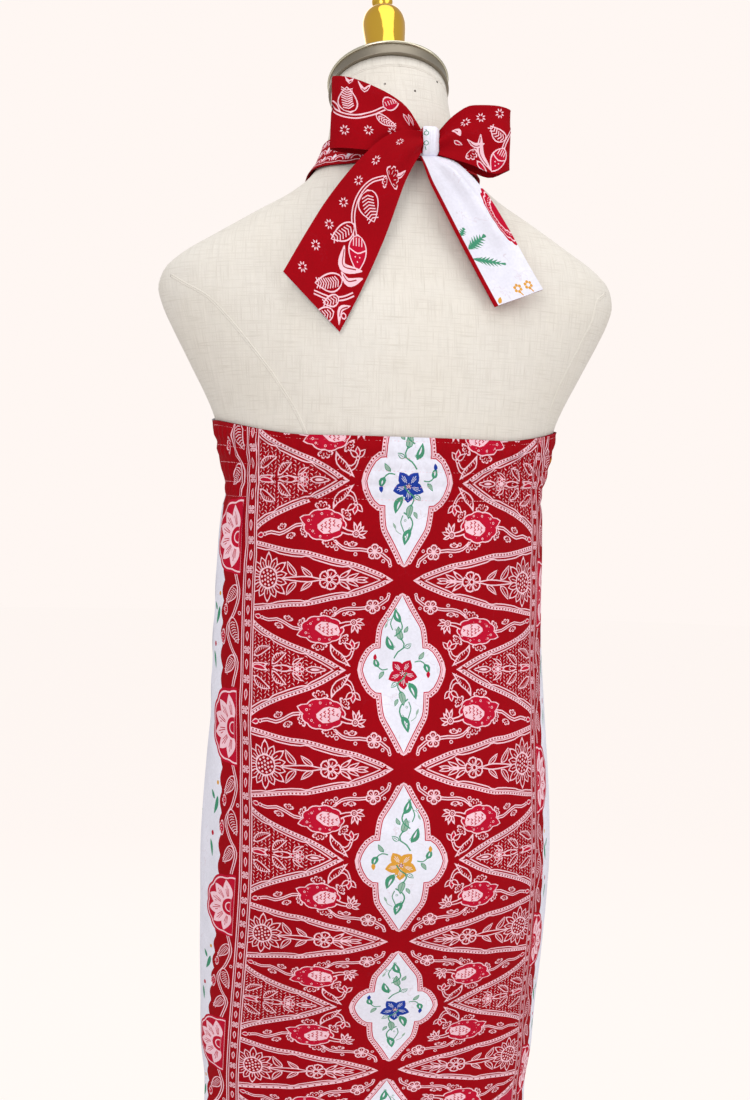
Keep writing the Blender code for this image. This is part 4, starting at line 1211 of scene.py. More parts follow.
def drawBouquet(flowerDye, fine):
    # one side of a medallion: a flower, leaves on curling stems and small rings; the other side is turned
    d = Drawing()
    d.stroke([(-3.0, -46.6), (-5.8, -40.5), (-7.4, -36.0), (-5.8, -30.5)], 0.9, "green")
    d.ring((-2.4, -48.4), 1.4, 0.5, "white", 6, "green")
    d.ring((-9.4, -41.0), 1.1, 0.45, "white", 5, "green")
    d.ring((0.8, -41.6), 1.1, 0.45, "white", 5, "green")
    d.leaf((1.4, -20.6), (-0.8, -33.8), 6.2, -0.8, "paleGreen", 0.6, 0.5, "green")
    d.leaf((3.6, -27.4), (7.4, -33.4), 3.4, 0.5, "paleGreen", 0.5, 0, "green")
    d.stroke([(1.6, -21.2), (3.2, -17.6), (2.4, -14.0), (-2.6, -10.8), (-6.4, -5.6)], 1.15, "green")
    d.leaf((3.0, -14.0), (9.6, -17.6), 4.4, 0.5, "white", 0.8, 0.5, "green")
    d.ring((-5.6, -15.6), 1.1, 0.45, "white", 5, "green")
    d.stroke([(11.2, -1.2), (16.2, -1.8), (20.0, 1.6), (21.4, 6.0)], 1.0, "green")
    d.leaf((19.4, 0.6), (22.6, 9.6), 5.6, -0.6, "green", 0.0, 0, "green")
    d.leaf((21.0, 3.0), (21.9, 7.2), 1.3, 0.0, None, 0.0, 0, "white")
    d.leaf((22.4, 7.4), (21.6, 13.2), 3.4, 0.0, None, 0.0, 0, flowerDye)
    d.leaf((14.6, -3.0), (20.0, -9.8), 3.8, 0.5, "paleGreen", 0.5, 0, "green")
    d.leaf((4.6, 15.4), (9.8, 29.4), 6.6, -1.2, "green", 0.0, 0, "green")
    d.leaf((6.2, 19.4), (8.6, 26.4), 1.6, -0.3, None, 0.0, 0, "white")
    d.stroke([(2.8, 28.4), (-3.2, 32.6), (-5.2, 37.6), (-3.6, 43.6)], 1.15, "green")
    d.leaf((-3.4, 41.0), (0.8, 54.4), 6.6, -1.0, "green", 0.0, 0, "green")
    d.leaf((-1.8, 44.6), (0.0, 51.2), 1.7, -0.3, None, 0.0, 0, "white")
    d.stroke([(3.8, 45.6), (8.0, 43.2), (9.8, 38.6)], 0.6, "paleGreen")
    d.leaf((8.6, 41.4), (11.2, 36.4), 1.9, 0, None, 0.0, 0, "paleGreen")
    d.ring((1.2, 34.6), 1.1, 0.45, "white", 5, "green")
    centre = np.array(bouquetHeart)
    for number in range(5):
        away = heading(-0.95 + number * 2 * math.pi / 5)
        d.leaf(centre + away * 1.2, centre + away * 13.2, 9.8, 0.3, None, 0.0, 0, flowerDye, 2.4)
        if fine:
            side = leftOf(away)
            for across, first, last in ((0.0, 3.0, 10.0), (1.35, 4.2, 8.4), (-1.35, 4.2, 8.4)):
                start, end = centre + away * first + side * across * 0.6, centre + away * last + side * across
                d.stroke([start, end], 0.38, "white", smooth=False)
    d.ring(centre, 1.7, 0.6, "wax", 7, "wine")
    d.disc(centre, 0.5, "wine", 4)
    return d


def drawSprig(flowerDye):
    # a small spray for the plain white cloth
    d = Drawing()
    d.stroke([(0, 16), (1.6, 9), (0.4, 2)], 0.9, "green")
    d.leaf((1.4, 10), (9.4, 4.6), 4.4, 0.8, "paleGreen", 0.7, 0.5, "green")
    d.leaf((1.0, 13), (-7.4, 9.4), 4.0, -0.8, "paleGreen", 0.7, 0.5, "green")
    d.stroke([(0.6, 16), (4.8, 20.6), (9.4, 19.4), (10.4, 15.8)], 0.8, "green")
    d.ring((10.2, 14.6), 1.2, 0.45, "white", 5, "green")
    d.ring((-4.6, 17.6), 1.1, 0.45, "white", 5, "green")
    centre = np.array([0, -5])
    for number in range(5):
        away = heading(-1.2 + number * 2 * math.pi / 5)
        d.leaf(centre + away * 1.0, centre + away * 8.6, 5.6, 0.2, None, 0.0, 0, flowerDye, 2.4)
        d.stroke([centre + away * 2.6, centre + away * 6.6], 0.42, smooth=False)
    d.ring(centre, 1.6, 0.6, "wax", 6, "wine")
    return d


def drawHalfFlower(d, hand, v):
    # a large half flower in a scalloped halo, open towards the side seam
    heart = np.array([151.0, v])

    def arc(wide, high, lobes=0, count=27):
        outline = []
        for angle in np.linspace(-1.72, 1.72, count):
            wave = 0.93 + 0.07 * abs(math.sin(angle * lobes)) if lobes else 1.0
            outline.append(heart + (wide * wave * math.cos(angle), high * wave * math.sin(angle)))
        return np.array(outline) * (hand, 1)

    for size, dye in ((1.0, "crimson"), (0.93, "wax"), (0.885, "crimson")):
        d.fill(arc(39.0 * size, 32.0 * size, 4.5, 37), dye)
    for angle in (-1.38, -0.83, -0.28, 0.28, 0.83, 1.38):
        away = heading(angle) * (1.26, 1)
        side = leftOf(away)
        base, tip = ((heart + away * reach) * (hand, 1) for reach in (5.0, 26.0))
        d.leaf(base, tip, 13.0, inside=None, line=0.0, step=3.0)
        for shift, reach in ((-1.9, 17.5), (0.0, 20.5), (1.9, 17.5)):
            ends = (heart + away * 10.0 + side * shift * 0.5, heart + away * reach + side * shift)
            d.stroke([end * (hand, 1) for end in ends], 0.75, "crimson", smooth=False)
    for size, dye in ((9.6, "wax"), (8.4, "crimson"), (5.0, "wax"), (3.9, "crimson")):
        d.fill(arc(size * 1.15, size, 0, 13), dye)


def drawBorderVine(d, at, hand):
    # a double stem with leaves and half flowers, from one large half flower to the next
    line = [(151, 31), (146, 48), (151, 66), (160, 82), (154, 98), (146, 110), (151, 130)]
    for shift in (-1.2, 1.2):
        d.stroke([at(x + shift, y) for x, y in line], 1.0, step=5.0)
    for base, tip, width, bend in (
        ((149, 40), (163, 58), 11.0, 1.2), ((154, 70), (145, 94), 12.0, -1.4), ((150, 104), (163, 121), 11.0, 1.2),
    ):
        middle = d.leaf(at(*base), at(*tip), width, bend * hand, "red", 1.0)
        for side in (1, -1):
            d.combs(middle, side, 0.2, 0.85, 8, 3.0, 1.0, width=0.7)
    outward = 0.0 if hand > 0 else math.pi
    d.fan(at(162.0, 90), outward, 8.0, 4, 2.6, "crimson")
    d.fan(at(159.5, 64), outward, 6.5, 3, 2.4, "crimson")
    d.ring(at(144.5, 66), 2.0, 0.8, sides=6)


def drawWhiteMarks(d, at, hand):
    # coloured marks on the white beyond the scalloped edge
    d.leaf(at(174, 62), at(181, 80), 6.0, 1.0 * hand, None, 0.0, 0, "green")
    d.leaf(at(180, 66), at(188, 58), 4.6, 0.0, None, 0.0, 0, "green")
    d.disc(at(174.5, 50), 2.2, "gold", 6)
    d.disc(at(182.0, 98), 2.6, "crimson", 6)
    d.leaf(at(186, 104), at(181, 120), 4.6, 0.8 * hand, None, 0.0, 0, "green")


def drawBorder(d, hand, rows):
    # the chain between two double lines, then large half flowers with vines between them, and the scalloped edge
    half = backPrint["half"]
    top, bottom = -half, (rows + 1) * half
    edge, outer, beyond = backPrint["borderEdge"], 170.0, 250.0
    chain = edge + 6.8
    tucked = hand == backPrint["tuckedHand"]
    b = Drawing()
    down = np.arange(top, bottom, 8.0)

    def strip(near, far, dye):
        b.fill([(hand * near, v) for v in down] + [(hand * far, v) for v in down[::-1]], dye)

    strip(edge, outer, "red")
    for x, width in ((0.6, 1.0), (2.8, 0.7), (10.8, 0.7), (13.0, 1.0)):
        strip(edge + x - width / 2, edge + x + width / 2, "wax")
    down = np.arange(backPrint["whiteFrom"], bottom, 3.2)
    out = 166.5 + 4.0 * np.abs(np.sin(down / 6.4)) + 40.0 * (1 - easeIn((down - backPrint["whiteFrom"]) / 52))
    scallops = [(hand * x, v) for x, v in zip(out, down)]
    b.fill(scallops + [(hand * beyond, down[-1]), (hand * beyond, down[0])], "white")
    for number, v in enumerate(np.arange(top, bottom, 12.0)):
        if number % 2:
            b.petals((hand * chain, v), 4, 0.4, 3.7, 3.2, 0.785, line=0.7)
        else:
            b.leaf((hand * chain, v - 4.6), (hand * chain, v + 4.6), 3.4, 0.0, "crimson", 0.8)
    repeat = backPrint["flowerRepeat"]
    start = backPrint["tuckedFlower"] if tucked else backPrint["halfFlower"]
    for v in np.arange(start - 2 * repeat, bottom, repeat):
        drawHalfFlower(b, hand, v)

        def at(x, y):
            return hand * x, v + y

        drawBorderVine(b, at, hand)
        if v > 0:
            drawWhiteMarks(b, at, hand)
    for outline, number in b.shapes:
        if tucked:
            # this edge is partly tucked away below the shoulder blades
            share = 1 - 0.42 * easeIn((outline[:, 1] - 165) / 80)
            outline = np.stack([hand * (edge + (np.abs(outline[:, 0]) - edge) * share), outline[:, 1]], 1)
        d.shapes.append((outline, number))


def drawBackPrint():
    d = Drawing()
    fineQuarter = drawQuarter(True)
    plainQuarter = drawQuarter(False)
    half = backPrint["half"]
    count = len(backPrint["rows"]) - 1
    for row in range(count):
        quarter = fineQuarter if row < backPrint["fineRows"] else plainQuarter
        way, start = (-1, row + 1) if row % 2 else (1, row)
        for hand in (1, -1):
            d.add(quarter, (hand, way), (0, start * half))
    for number, dye in enumerate(backPrint["medallionDyes"]):
        fine = 2 * number < backPrint["fineRows"]
        middle = (0, (2 * number + 1) * half - 4.5)
        bouquet = drawBouquet(dye, fine)
        lean = (0.0, -0.06, 0.05)[number % 3]
        hand = 1 if number % 2 else -1
        d.add(bouquet, (hand, 1), middle, lean)
        d.add(leavesOnly(bouquet), (-hand * 0.92, -0.94), (middle[0] - hand * 2.0, middle[1] + 2.0), lean)
    for hand in (1, -1):
        drawBorder(d, hand, count)
    return d.shapes


def leavesOnly(bouquet):
    # a bouquet without its flower, for the medallion's other side
    d = Drawing()
    for outline, number in bouquet.shapes:
        middle = outline.mean(0)
        away = np.hypot(*(middle - bouquetHeart))
        if away > 13.5 and middle[0] > -6 and abs(middle[1]) < 50:
            d.shapes.append((outline, number))
    return d


# the height of each place down the flat print
rowPlaces = np.arange(len(backPrint["rows"])) * backPrint["half"]
finePlaces = np.linspace(0, rowPlaces[-1], 4001)
fineRise = smoothTable(list(zip(rowPlaces, backPrint["rows"])), finePlaces)[0]


def heightOfPrint(v):
    return np.interp(v, finePlaces, fineRise)


def printOfHeight(z):
    return np.interp(-np.asarray(z), -fineRise, finePlaces)


def handDrawn(x, v):
    # slow wandering, so that no two repeats are the same
    fade = easeIn((v - 45) / 60)
    dx = 1.3 * np.sin(v / 41 + 0.6) * np.cos(x / 57) + 0.8 * np.sin(x / 23 + v / 67)
    dv = 1.2 * np.sin(x / 38 + 1.1) * np.cos(v / 71) + 0.8 * np.sin(v / 29 + x / 83)
    return x + dx * fade * easeIn(1.35 - np.abs(x) / 150), v + dv * fade


# the back of the dress

backCloth = {
    "gather": 0.00055,  # depth of the puckers on the elastic
    "gatherWidth": 0.0083,
    "gatherFade": 0.040,  # how far below the elastic the puckers run
    # creases: where they start and end (way round from the centre back and height, mm), width, depth
    "creases": (
        ((-19.0, 1092), (-19.5, 996), 2.6, -1.1),
        ((-107, 978), (-76, 944), 6.0, 1.6),
        ((-150, 985), (-118, 930), 9.0, 1.8),
        ((150, 1010), (120, 950), 9.0, 1.5),
        ((-165, 1120), (-120, 1085), 8.0, -1.2),
        ((165, 1110), (122, 1078), 8.0, -1.2),
        ((-140, 905), (-100, 880), 8.0, 1.2),
    ),
    # height, and how far the cloth stands off there, beside the left seam
    "slack": (
        (0.330, 0.0050), (0.600, 0.0050), (0.680, 0.0045), (0.740, 0.0020), (0.800, 0.0), (0.940, 0.0),
        (0.985, 0.0030), (1.030, 0.0048), (1.075, 0.0044), (1.120, 0.0026), (1.165, 0.0), (1.230, 0.0),
    ),
    "slackReach": 0.075,
    "grid": 11.0,  # spacing of the points between the lines of the print, outside and inside, mm
    "insideGrid": 22.0,
    "bakeWide": 0.90,
    "cut": (0.430, 0.880),  # width and length of the flat cloth, m
}


def backTop(angle):
    side = easeIn((np.abs(np.degrees(angle)) - 42) / 48)
    return dressCut["backTop"] + (dressCut["sideTop"] - dressCut["backTop"]) * side


def wayAt(ways, angle, z):
    # how far round the cloth an angle is, at each height
    result = []
    for oneAngle, oneHeight in zip(np.broadcast_to(angle, np.shape(z)), z):
        place = (oneHeight - tableHeights[0]) / (tableHeights[1] - tableHeights[0])
        low = int(place)
        share = place - low
        row = ways[low] * (1 - share) + ways[low + 1] * share
        result.append(np.interp(oneAngle, row, tableWays))
    return np.array(result)


def creaseLift(creases, x, z):
    lift = 0.0
    for start, end, width, depth in creases:
        a = np.array(start) / 1000
        along = np.array(end) / 1000 - a
        share = np.clip(((x - a[0]) * along[0] + (z - a[1]) * along[1]) / (along @ along), 0, 1)
        gap = np.hypot(x - a[0] - share * along[0], z - a[1] - share * along[1])
        fade = np.sin(math.pi * np.clip(share, 0.04, 0.96)) ** 0.6
        lift = lift + depth / 1000 * fade * np.exp(-((gap * 1000 / width) ** 2))
    return lift


def sideSlack(gap, z):
    # the cloth stands away from the form beside the left seam, at the waist and above the hem
    return easeIn(1 - gap / backCloth["slackReach"]) * smoothTable(backCloth["slack"], z)[0]


def backLift(x, z):
    angle = readTable(backWays, tableWays, x, z)
    rows = dressCut["casingRows"]
    follow = easeIn((z - rows[-1]) / (dressCut["backTop"] - rows[-1]))
    level = z - (backTop(angle) - dressCut["backTop"]) * follow
    lift = 0.0
    inside = easeIn((level - rows[-1] + 0.004) / 0.006)
    below = easeIn((level - rows[-1] + backCloth["gatherFade"]) / backCloth["gatherFade"])
    for number, (upper, lower) in enumerate(zip(rows, rows[1:])):
        share = np.clip((level - lower) / (upper - lower), 0, 1)
        swell = np.sin(math.pi * share) ** 0.7
        lift = lift + dressCut["casingPuff"] * swell
        phase = 0.9 * math.sin(number * 2.1)
        bump = np.sin(2 * math.pi * x / backCloth["gatherWidth"] + phase + 1.6 * np.sin(x * 95 + number))
        lift = lift + backCloth["gather"] * bump * swell * 1.25
    wide = np.sin(2 * math.pi * x / (backCloth["gatherWidth"] * 1.7) + 1.4 * np.sin(x * 61))
    lift = lift + backCloth["gather"] * 0.8 * wide * below * (1 - 0.75 * inside)
    gap = np.interp(z, sideHeights, sideWay) / 1000 + x
    return lift + creaseLift(backCloth["creases"], x, z) + sideSlack(gap, z)


def placedCloth(ways, liftOf, x, z):
    # the outside of the cloth and its direction, with its small folds
    angle = readTable(ways, tableWays, x, z)
    step = 0.0005
    slopeX = (liftOf(x + step, z) - liftOf(x - step, z)) / (2 * step)
    slopeZ = (liftOf(x, z + step) - liftOf(x, z - step)) / (2 * step)
    across, upwards, outwards = dressFrame(angle, z)
    normal = outwards - across * slopeX[:, None] - upwards * slopeZ[:, None]
    normal = normal / np.linalg.norm(normal, axis=1, keepdims=True)
    return onDress(angle, z) + outwards * liftOf(x, z)[:, None], normal


def placeBack(flat):
    # the print wanders by hand, but not at the cloth's edges
    side = sideWay[np.clip(np.searchsorted(sideHeights, heightOfPrint(flat[:, 1])), 0, len(sideHeights) - 1)]
    x, v = handDrawn(flat[:, 0], flat[:, 1])
    room = easeIn((side - np.abs(flat[:, 0])) / 35) * easeIn((hemPlace - flat[:, 1]) / 60)
    x = flat[:, 0] + (x - flat[:, 0]) * room
    v = flat[:, 1] + (v - flat[:, 1]) * room
    return placedCloth(backWays, backLift, x / 1000, heightOfPrint(v))


sideAngle = math.pi / 2 - halfGap
sideHeights = np.linspace(dressCut["hem"], dressCut["sideTop"], 150)
sideWay = np.minimum(wayAt(backWays, sideAngle, sideHeights), -wayAt(backWays, -sideAngle, sideHeights)) * 1000
hemPlace = float(printOfHeight(dressCut["hem"]))


def backFrameLine():
    angles = np.linspace(-sideAngle, sideAngle, 75)
    top = backTop(angles)
    line = list(zip(wayAt(backWays, angles, top) * 1000, printOfHeight(top)))
    down = sideHeights[::-1][1:]
    line += list(zip(wayAt(backWays, sideAngle, down) * 1000, printOfHeight(down)))
    hem = np.linspace(sideAngle, -sideAngle, 75)[1:-1]
    line += list(zip(wayAt(backWays, hem, np.full(len(hem), dressCut["hem"])) * 1000, np.full(len(hem), hemPlace)))
    up = sideHeights[:-1]
    line += list(zip(wayAt(backWays, -sideAngle, up) * 1000, printOfHeight(up)))
    return np.array(line)


def casingGrid(frameLine):
    # close points where the elastic puckers the cloth
    lowest = 1.122
    x, v = np.meshgrid(np.arange(-196, 197, 2.8), np.arange(35, 112, 3.2))
    spots = np.stack([x.ravel() + 0.3 * (np.arange(x.size) % 3), v.ravel()], 1)
    return spots[insideShape(frameLine, spots) & (heightOfPrint(spots[:, 1]) > lowest)]


def makeBack():
    line = backFrameLine()
    grid = np.concatenate([flatGrid(line, backCloth["grid"]), casingGrid(line)])
    flat, triangles, dyeOf = cutFlat(line, drawBackPrint(), grid, "red")
    inside = flatGrid(line, backCloth["insideGrid"], 6.0)
    piece, area = clothPiece(
        "backCloth", flat, triangles, dyeOf, placeBack, inside, "red", dressCut["cloth"], backCloth["bakeWide"]
    )
    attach(piece, "root")
    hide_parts("back_panel")
    print("back flat area", round(area, 4))


# the front of the dress

frontCloth = {
    "cut": (0.480, 1.050),
    "grid": 6.0,
    "insideGrid": 16.0,
    "bakeWide": 0.90,
    # height, and how far the neck edge and the arm edge are from the middle there
    "neckAndArm": (
        (1.205, 0.000, 0.1540), (1.2063, 0.000, 0.1524), (1.208, 0.000, 0.1490), (1.211, 0.000, 0.1435),
        (1.215, 0.000, 0.1355), (1.222, 0.005, 0.1270), (1.230, 0.009, 0.1190), (1.255, 0.018, 0.1050),
        (1.285, 0.026, 0.0960), (1.315, 0.0325, 0.0890), (1.345, 0.038, 0.0840),
    ),
    "neckFoot": 1.215,
    "strapFoot": 1.345,
    "sprigSpacing": (92.0, 64.0),
    "cornerFoot": 1.150,  # the red corner at the top left starts here
    "creases": (
        ((-70, 1095), (-112, 1150), 7.0, -1.4),
        ((70, 1095), (112, 1150), 7.0, -1.4),
        ((-60, 1060), (-120, 1075), 9.0, 1.2),
        ((60, 1060), (120, 1075), 9.0, 1.2),
        ((-150, 960), (-90, 930), 9.0, 1.5),
        ((150, 950), (95, 915), 9.0, 1.5),
    ),
}


def frontAngle(across, z, hand):
    angles = np.linspace(math.pi / 2, math.pi, 500)
    place = onDress(hand * angles, z)
    return float(np.interp(across, np.abs(place[::-1, 0]), angles[::-1]))


def frontWay(angle, z, hand):
    # hand 1 is the wearer's right; the flat cloth runs the other way there
    turned = angle if hand > 0 else 2 * math.pi - angle
    return float(wayAt(frontWays, turned, np.array([z]))[0]) * 1000


def frontEdge(z, column, hand, least=0.0):
    # a place on the flat cloth's neck edge, column 0, or arm edge, column 1
    across = max(float(smoothTable(frontCloth["neckAndArm"], z)[column]), least)
    return frontWay(frontAngle(across, z, hand), z, hand), -z * 1000


def frontFrameLine():
    foot, top = frontCloth["neckFoot"], frontCloth["strapFoot"]
    halves = []
    for hand in (1, -1):
        line = []
        for z in np.linspace(dressCut["hem"], dressCut["sideTop"], 140):
            line.append((frontWay(math.pi / 2 + halfGap, z, hand), -z * 1000))
        for z in np.concatenate([np.linspace(1.2063, 1.222, 7), np.linspace(1.227, top, 22)]):
            line.append(frontEdge(z, 1, hand))
        inner = frontEdge(top, 0, hand)[0]
        for x in np.linspace(line[-1][0], inner, 9)[1:]:
            line.append((x, -top * 1000))
        for z in np.linspace(top, foot + 0.0012, 24)[1:]:
            line.append(frontEdge(z, 0, hand, 0.0008))
        halves.append(line)
    hem = [(x, -dressCut["hem"] * 1000) for x in np.linspace(halves[1][0][0], halves[0][0][0], 62)[1:-1]]
    return np.array(halves[0] + [(0.0, -foot * 1000)] + halves[1][::-1] + hem)


leftSeam = np.array([frontWay(math.pi / 2 + halfGap, z, -1) for z in sideHeights]) / 1000


def frontLift(x, z):
    # long soft pulls under the bust, and small wrinkles at the waist
    waist = np.exp(-(((z - 1.02) / 0.07) ** 2))
    ripple = 0.0005 * np.sin(2 * math.pi * (z * 21 + x * 9)) * waist * easeIn(np.abs(x) / 0.05)
    gap = np.abs(np.interp(z, sideHeights, leftSeam) - x)
    return ripple + creaseLift(frontCloth["creases"], x, z) + sideSlack(gap, z)


def placeFront(flat):
    return placedCloth(frontWays, frontLift, flat[:, 0] / 1000, -flat[:, 1] / 1000)


def drawFrontPrint():
    d = Drawing()
    sprigs = [drawSprig(dye) for dye in ("crimson", "blue", "gold")]
    wide, high = frontCloth["sprigSpacing"]
    number = 0
    for row, z in enumerate(np.arange(0.40, 1.34, high / 1000)):
        for column in range(-3, 4):
            x = (column + (0.5 if row % 2 else 0.0)) * wide
            lean = 0.5 * math.sin(number * 2.4)
            hand = 1 if number % 2 else -1
            d.add(sprigs[(row + column) % 3], (hand * 1.15, -1.15), (x + 5 * math.sin(number), -z * 1000), lean)
            d.ring((x + wide / 4 + 4 * math.cos(number), -z * 1000 - high / 2), 1.2, 0.45, "white", 5, "green")
            d.disc((x - wide / 4, -z * 1000 + high / 4 + 5 * math.sin(number)), 0.9, "crimson", 5)
            number += 1
    drawRedCorner(d)
    return d.shapes


def drawRedCorner(d):
    # the red border laps round the top corner at the left
    heights = np.linspace(frontCloth["cornerFoot"], dressCut["sideTop"] + 0.004, 9)
    seam = np.interp(heights, sideHeights, leftSeam) * 1000
    wide = np.linspace(1.5, 21.0, 9) * -np.sign(seam)

    def beside(across):
        return list(zip(seam + across, -heights * 1000))

    d.fill(beside(-np.sign(wide) * 3) + beside(wide)[::-1], "red")
    d.stroke(beside(wide), 1.4, "crimson")
    d.stroke(beside(wide * 0.72), 0.9, "wax")
    for share, z in ((0.35, 1.198), (0.42, 1.188), (0.30, 1.178)):
        d.ring((np.interp(z, sideHeights, leftSeam) * 1000 + wide[-1] * share, -z * 1000), 2.2, 0.8, "red", 6)


def makeFront():
    line = frontFrameLine()
    flat, triangles, dyeOf = cutFlat(line, drawFrontPrint(), flatGrid(line, frontCloth["grid"]), "white")
    inside = flatGrid(line, frontCloth["insideGrid"], 5.0)
    piece, area = clothPiece(
        "frontCloth", flat, triangles, dyeOf, placeFront, inside, "white", dressCut["cloth"], frontCloth["bakeWide"]
    )
    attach(piece, "root")
    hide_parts("front_panel")
    print("front flat area", round(area, 4))


# the linen form

linenForm = {
    "rowStep": 0.005,
    "columns": 128,
    "colour": fromScreen(233, 229, 223),
    "threadsPerMetre": 1500.0,
    # the seams of the cover, as places on the form
    "backSeams": {
        "linenSeamLeft": (
            (-0.1900, -0.0250, 1.3240), (-0.1827, -0.0387, 1.3172), (-0.1631, -0.0556, 1.3044),
            (-0.1443, -0.0668, 1.2844), (-0.1273, -0.0745, 1.2632), (-0.1135, -0.0795, 1.2455),
            (-0.1004, -0.0833, 1.2262), (-0.0905, -0.0857, 1.2102), (-0.0831, -0.0871, 1.1949),
            (-0.0776, -0.0875, 1.1797), (-0.0740, -0.0870, 1.1500),
        ),
        "linenSeamRight": (
            (0.1860, -0.0330, 1.3260), (0.1744, -0.0463, 1.3168), (0.1688, -0.0505, 1.2980),
            (0.1613, -0.0539, 1.2844), (0.1529, -0.0563, 1.2684), (0.1447, -0.0584, 1.2533),
            (0.1365, -0.0582, 1.2342), (0.1318, -0.0550, 1.2163), (0.1301, -0.0503, 1.1992),
            (0.1280, -0.0500, 1.1700),
        ),
    },
    # across the seam and out of the form, mm
    "seamProfile": (
        (-1.7, -0.5), (-1.5, 0.10), (-0.8, 0.42), (-0.25, 0.30), (0.0, -0.05),
        (0.25, 0.30), (0.8, 0.42), (1.5, 0.10), (1.7, -0.5),
    ),
    "neckSeam": 1.4935,
    "pinHole": {"radius": 0.0009, "deep": 0.0008, "rim": 0.0004},
    "pinHoles": ((-0.0138, -0.0269, 1.4956), (0.0119, -0.0298, 1.4907), (0.0354, -0.0084, 1.5056)),
}


def linenMaterial():
    material, tree, shader = newMaterial("linenWeave", Sheen_Weight=0.08)
    link = tree.links.new
    flat = tree.nodes.new("ShaderNodeUVMap")
    flat.uv_map = "clothMetres"
    weave = placeGroup(tree, weaveGroup, Threads=linenForm["threadsPerMetre"], Slub=1.1)
    link(flat.outputs["UV"], weave.inputs["Vector"])
    # thick and thin threads run both ways, some of them darker
    masks = []
    for stretch, scale in (((1.0, 0.045, 1.0), 900.0), ((0.045, 1.0, 1.0), 780.0)):
        run = stretchCoordinate(tree, flat.outputs["UV"], stretch)
        noise = addNoise(tree, run, Scale=scale, Detail=2.0, Roughness=0.55)
        masks.append(spanShare(tree, noise, 0.50, 0.74))
    threads = mathNode(tree, "MAXIMUM", *masks)
    broad = addNoise(tree, flat.outputs["UV"], Scale=14.0, Detail=3.0)
    base = linenForm["colour"]
    dark = tuple(c * k for c, k in zip(base, (0.66, 0.62, 0.56)))
    warm = tuple(c * k for c, k in zip(base, (0.97, 0.95, 0.90)))
    toned = mixColour(tree, broad, base, warm)
    streaked = mixColour(tree, mathNode(tree, "MULTIPLY", threads, 0.36), toned, dark)
    # painted shade: the colour darkens where the weave lies low between its threads
    shade = mathNode(tree, "MULTIPLY_ADD", weave.outputs["Height"], 0.10, 0.94)
    link(scaleColour(tree, streaked, shade), shader.inputs["Base Color"])
    link(mathNode(tree, "MULTIPLY_ADD", threads, -0.08, 0.93), shader.inputs["Roughness"])
    height = mathNode(tree, "ADD", weave.outputs["Height"], mathNode(tree, "MULTIPLY", threads, 0.9))
    addBump(tree, height, 0.7, 0.00016)
    return material


def gridPiece(name, rows, material):
    # a closed loft through rings of points; its flat coordinate runs round each ring from the middle of the back
    count, columns = rows.shape[:2]
    step = np.linalg.norm(np.roll(rows, -1, axis=1) - rows, axis=2)
    wayRound = np.concatenate([np.zeros((count, 1)), np.cumsum(step, axis=1)], axis=1)
    points = rows.reshape(-1, 3).tolist()
    faces = []
    for row in range(count - 1):
        for column in range(columns):
            beside = (column + 1) % columns
            low, high = row * columns, (row + 1) * columns
            faces.append((low + column, low + beside, high + beside, high + column))
    faces.append(tuple(range(columns))[::-1])
    faces.append(tuple(range((count - 1) * columns, count * columns)))
    mesh = bpy.data.meshes.new(name)
    mesh.from_pydata(points, [], faces)
    metres = mesh.uv_layers.new(name="clothMetres")
    bake = mesh.uv_layers.new(name="OFBake")
    for polygon in mesh.polygons:
        spots = list(polygon.vertices)
        if len(spots) > 4:
            # the two ends are small discs beside the wall in the baked picture
            for loop, vertex in zip(polygon.loop_indices, spots):
                turn = heading(2 * math.pi * (vertex % columns) / columns) * 0.02
                bake.data[loop].uv = (0.93 + turn[0], (0.2 if vertex < columns else 0.6) + turn[1])
                metres.data[loop].uv = points[vertex][:2]
            continue
        columnsOf = [vertex % columns for vertex in spots]
        wraps = max(columnsOf) - min(columnsOf) > 1
        for loop, vertex, column in zip(polygon.loop_indices, spots, columnsOf):
            row = vertex // columns
            if wraps and column == 0:
                column = columns
            bake.data[loop].uv = (0.90 * column / columns, 0.02 + 0.96 * row / (count - 1))
            metres.data[loop].uv = (wayRound[row, column] - wayRound[row, columns // 2], points[vertex][2])
    mesh.materials.append(material)
    mesh.shade_smooth()
    mesh.update()
    piece = bpy.data.objects.new(name, mesh)
    bpy.context.scene.collection.objects.link(piece)
    return piece


def makeLinenForm(linen):
    low, high = formRings[0][0], formRings[-1][0]
    heights = np.arange(low, high, linenForm["rowStep"])
    heights = np.append(heights[:-1], high)
    # the first column is the middle of the front, so that the flat coordinate has its join there
    angles = math.pi + np.arange(linenForm["columns"]) * 2 * math.pi / linenForm["columns"]
    rows = np.array([formRing(z, angles) for z in heights])
    piece = gridPiece("linenForm", rows, linen)
    mesh = piece.data
    tree = BVHTree.FromPolygons([v.co[:] for v in mesh.vertices], [p.vertices[:] for p in mesh.polygons])
    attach(piece, "root")
    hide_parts("dress_form")
    print("linen form made")
    return tree


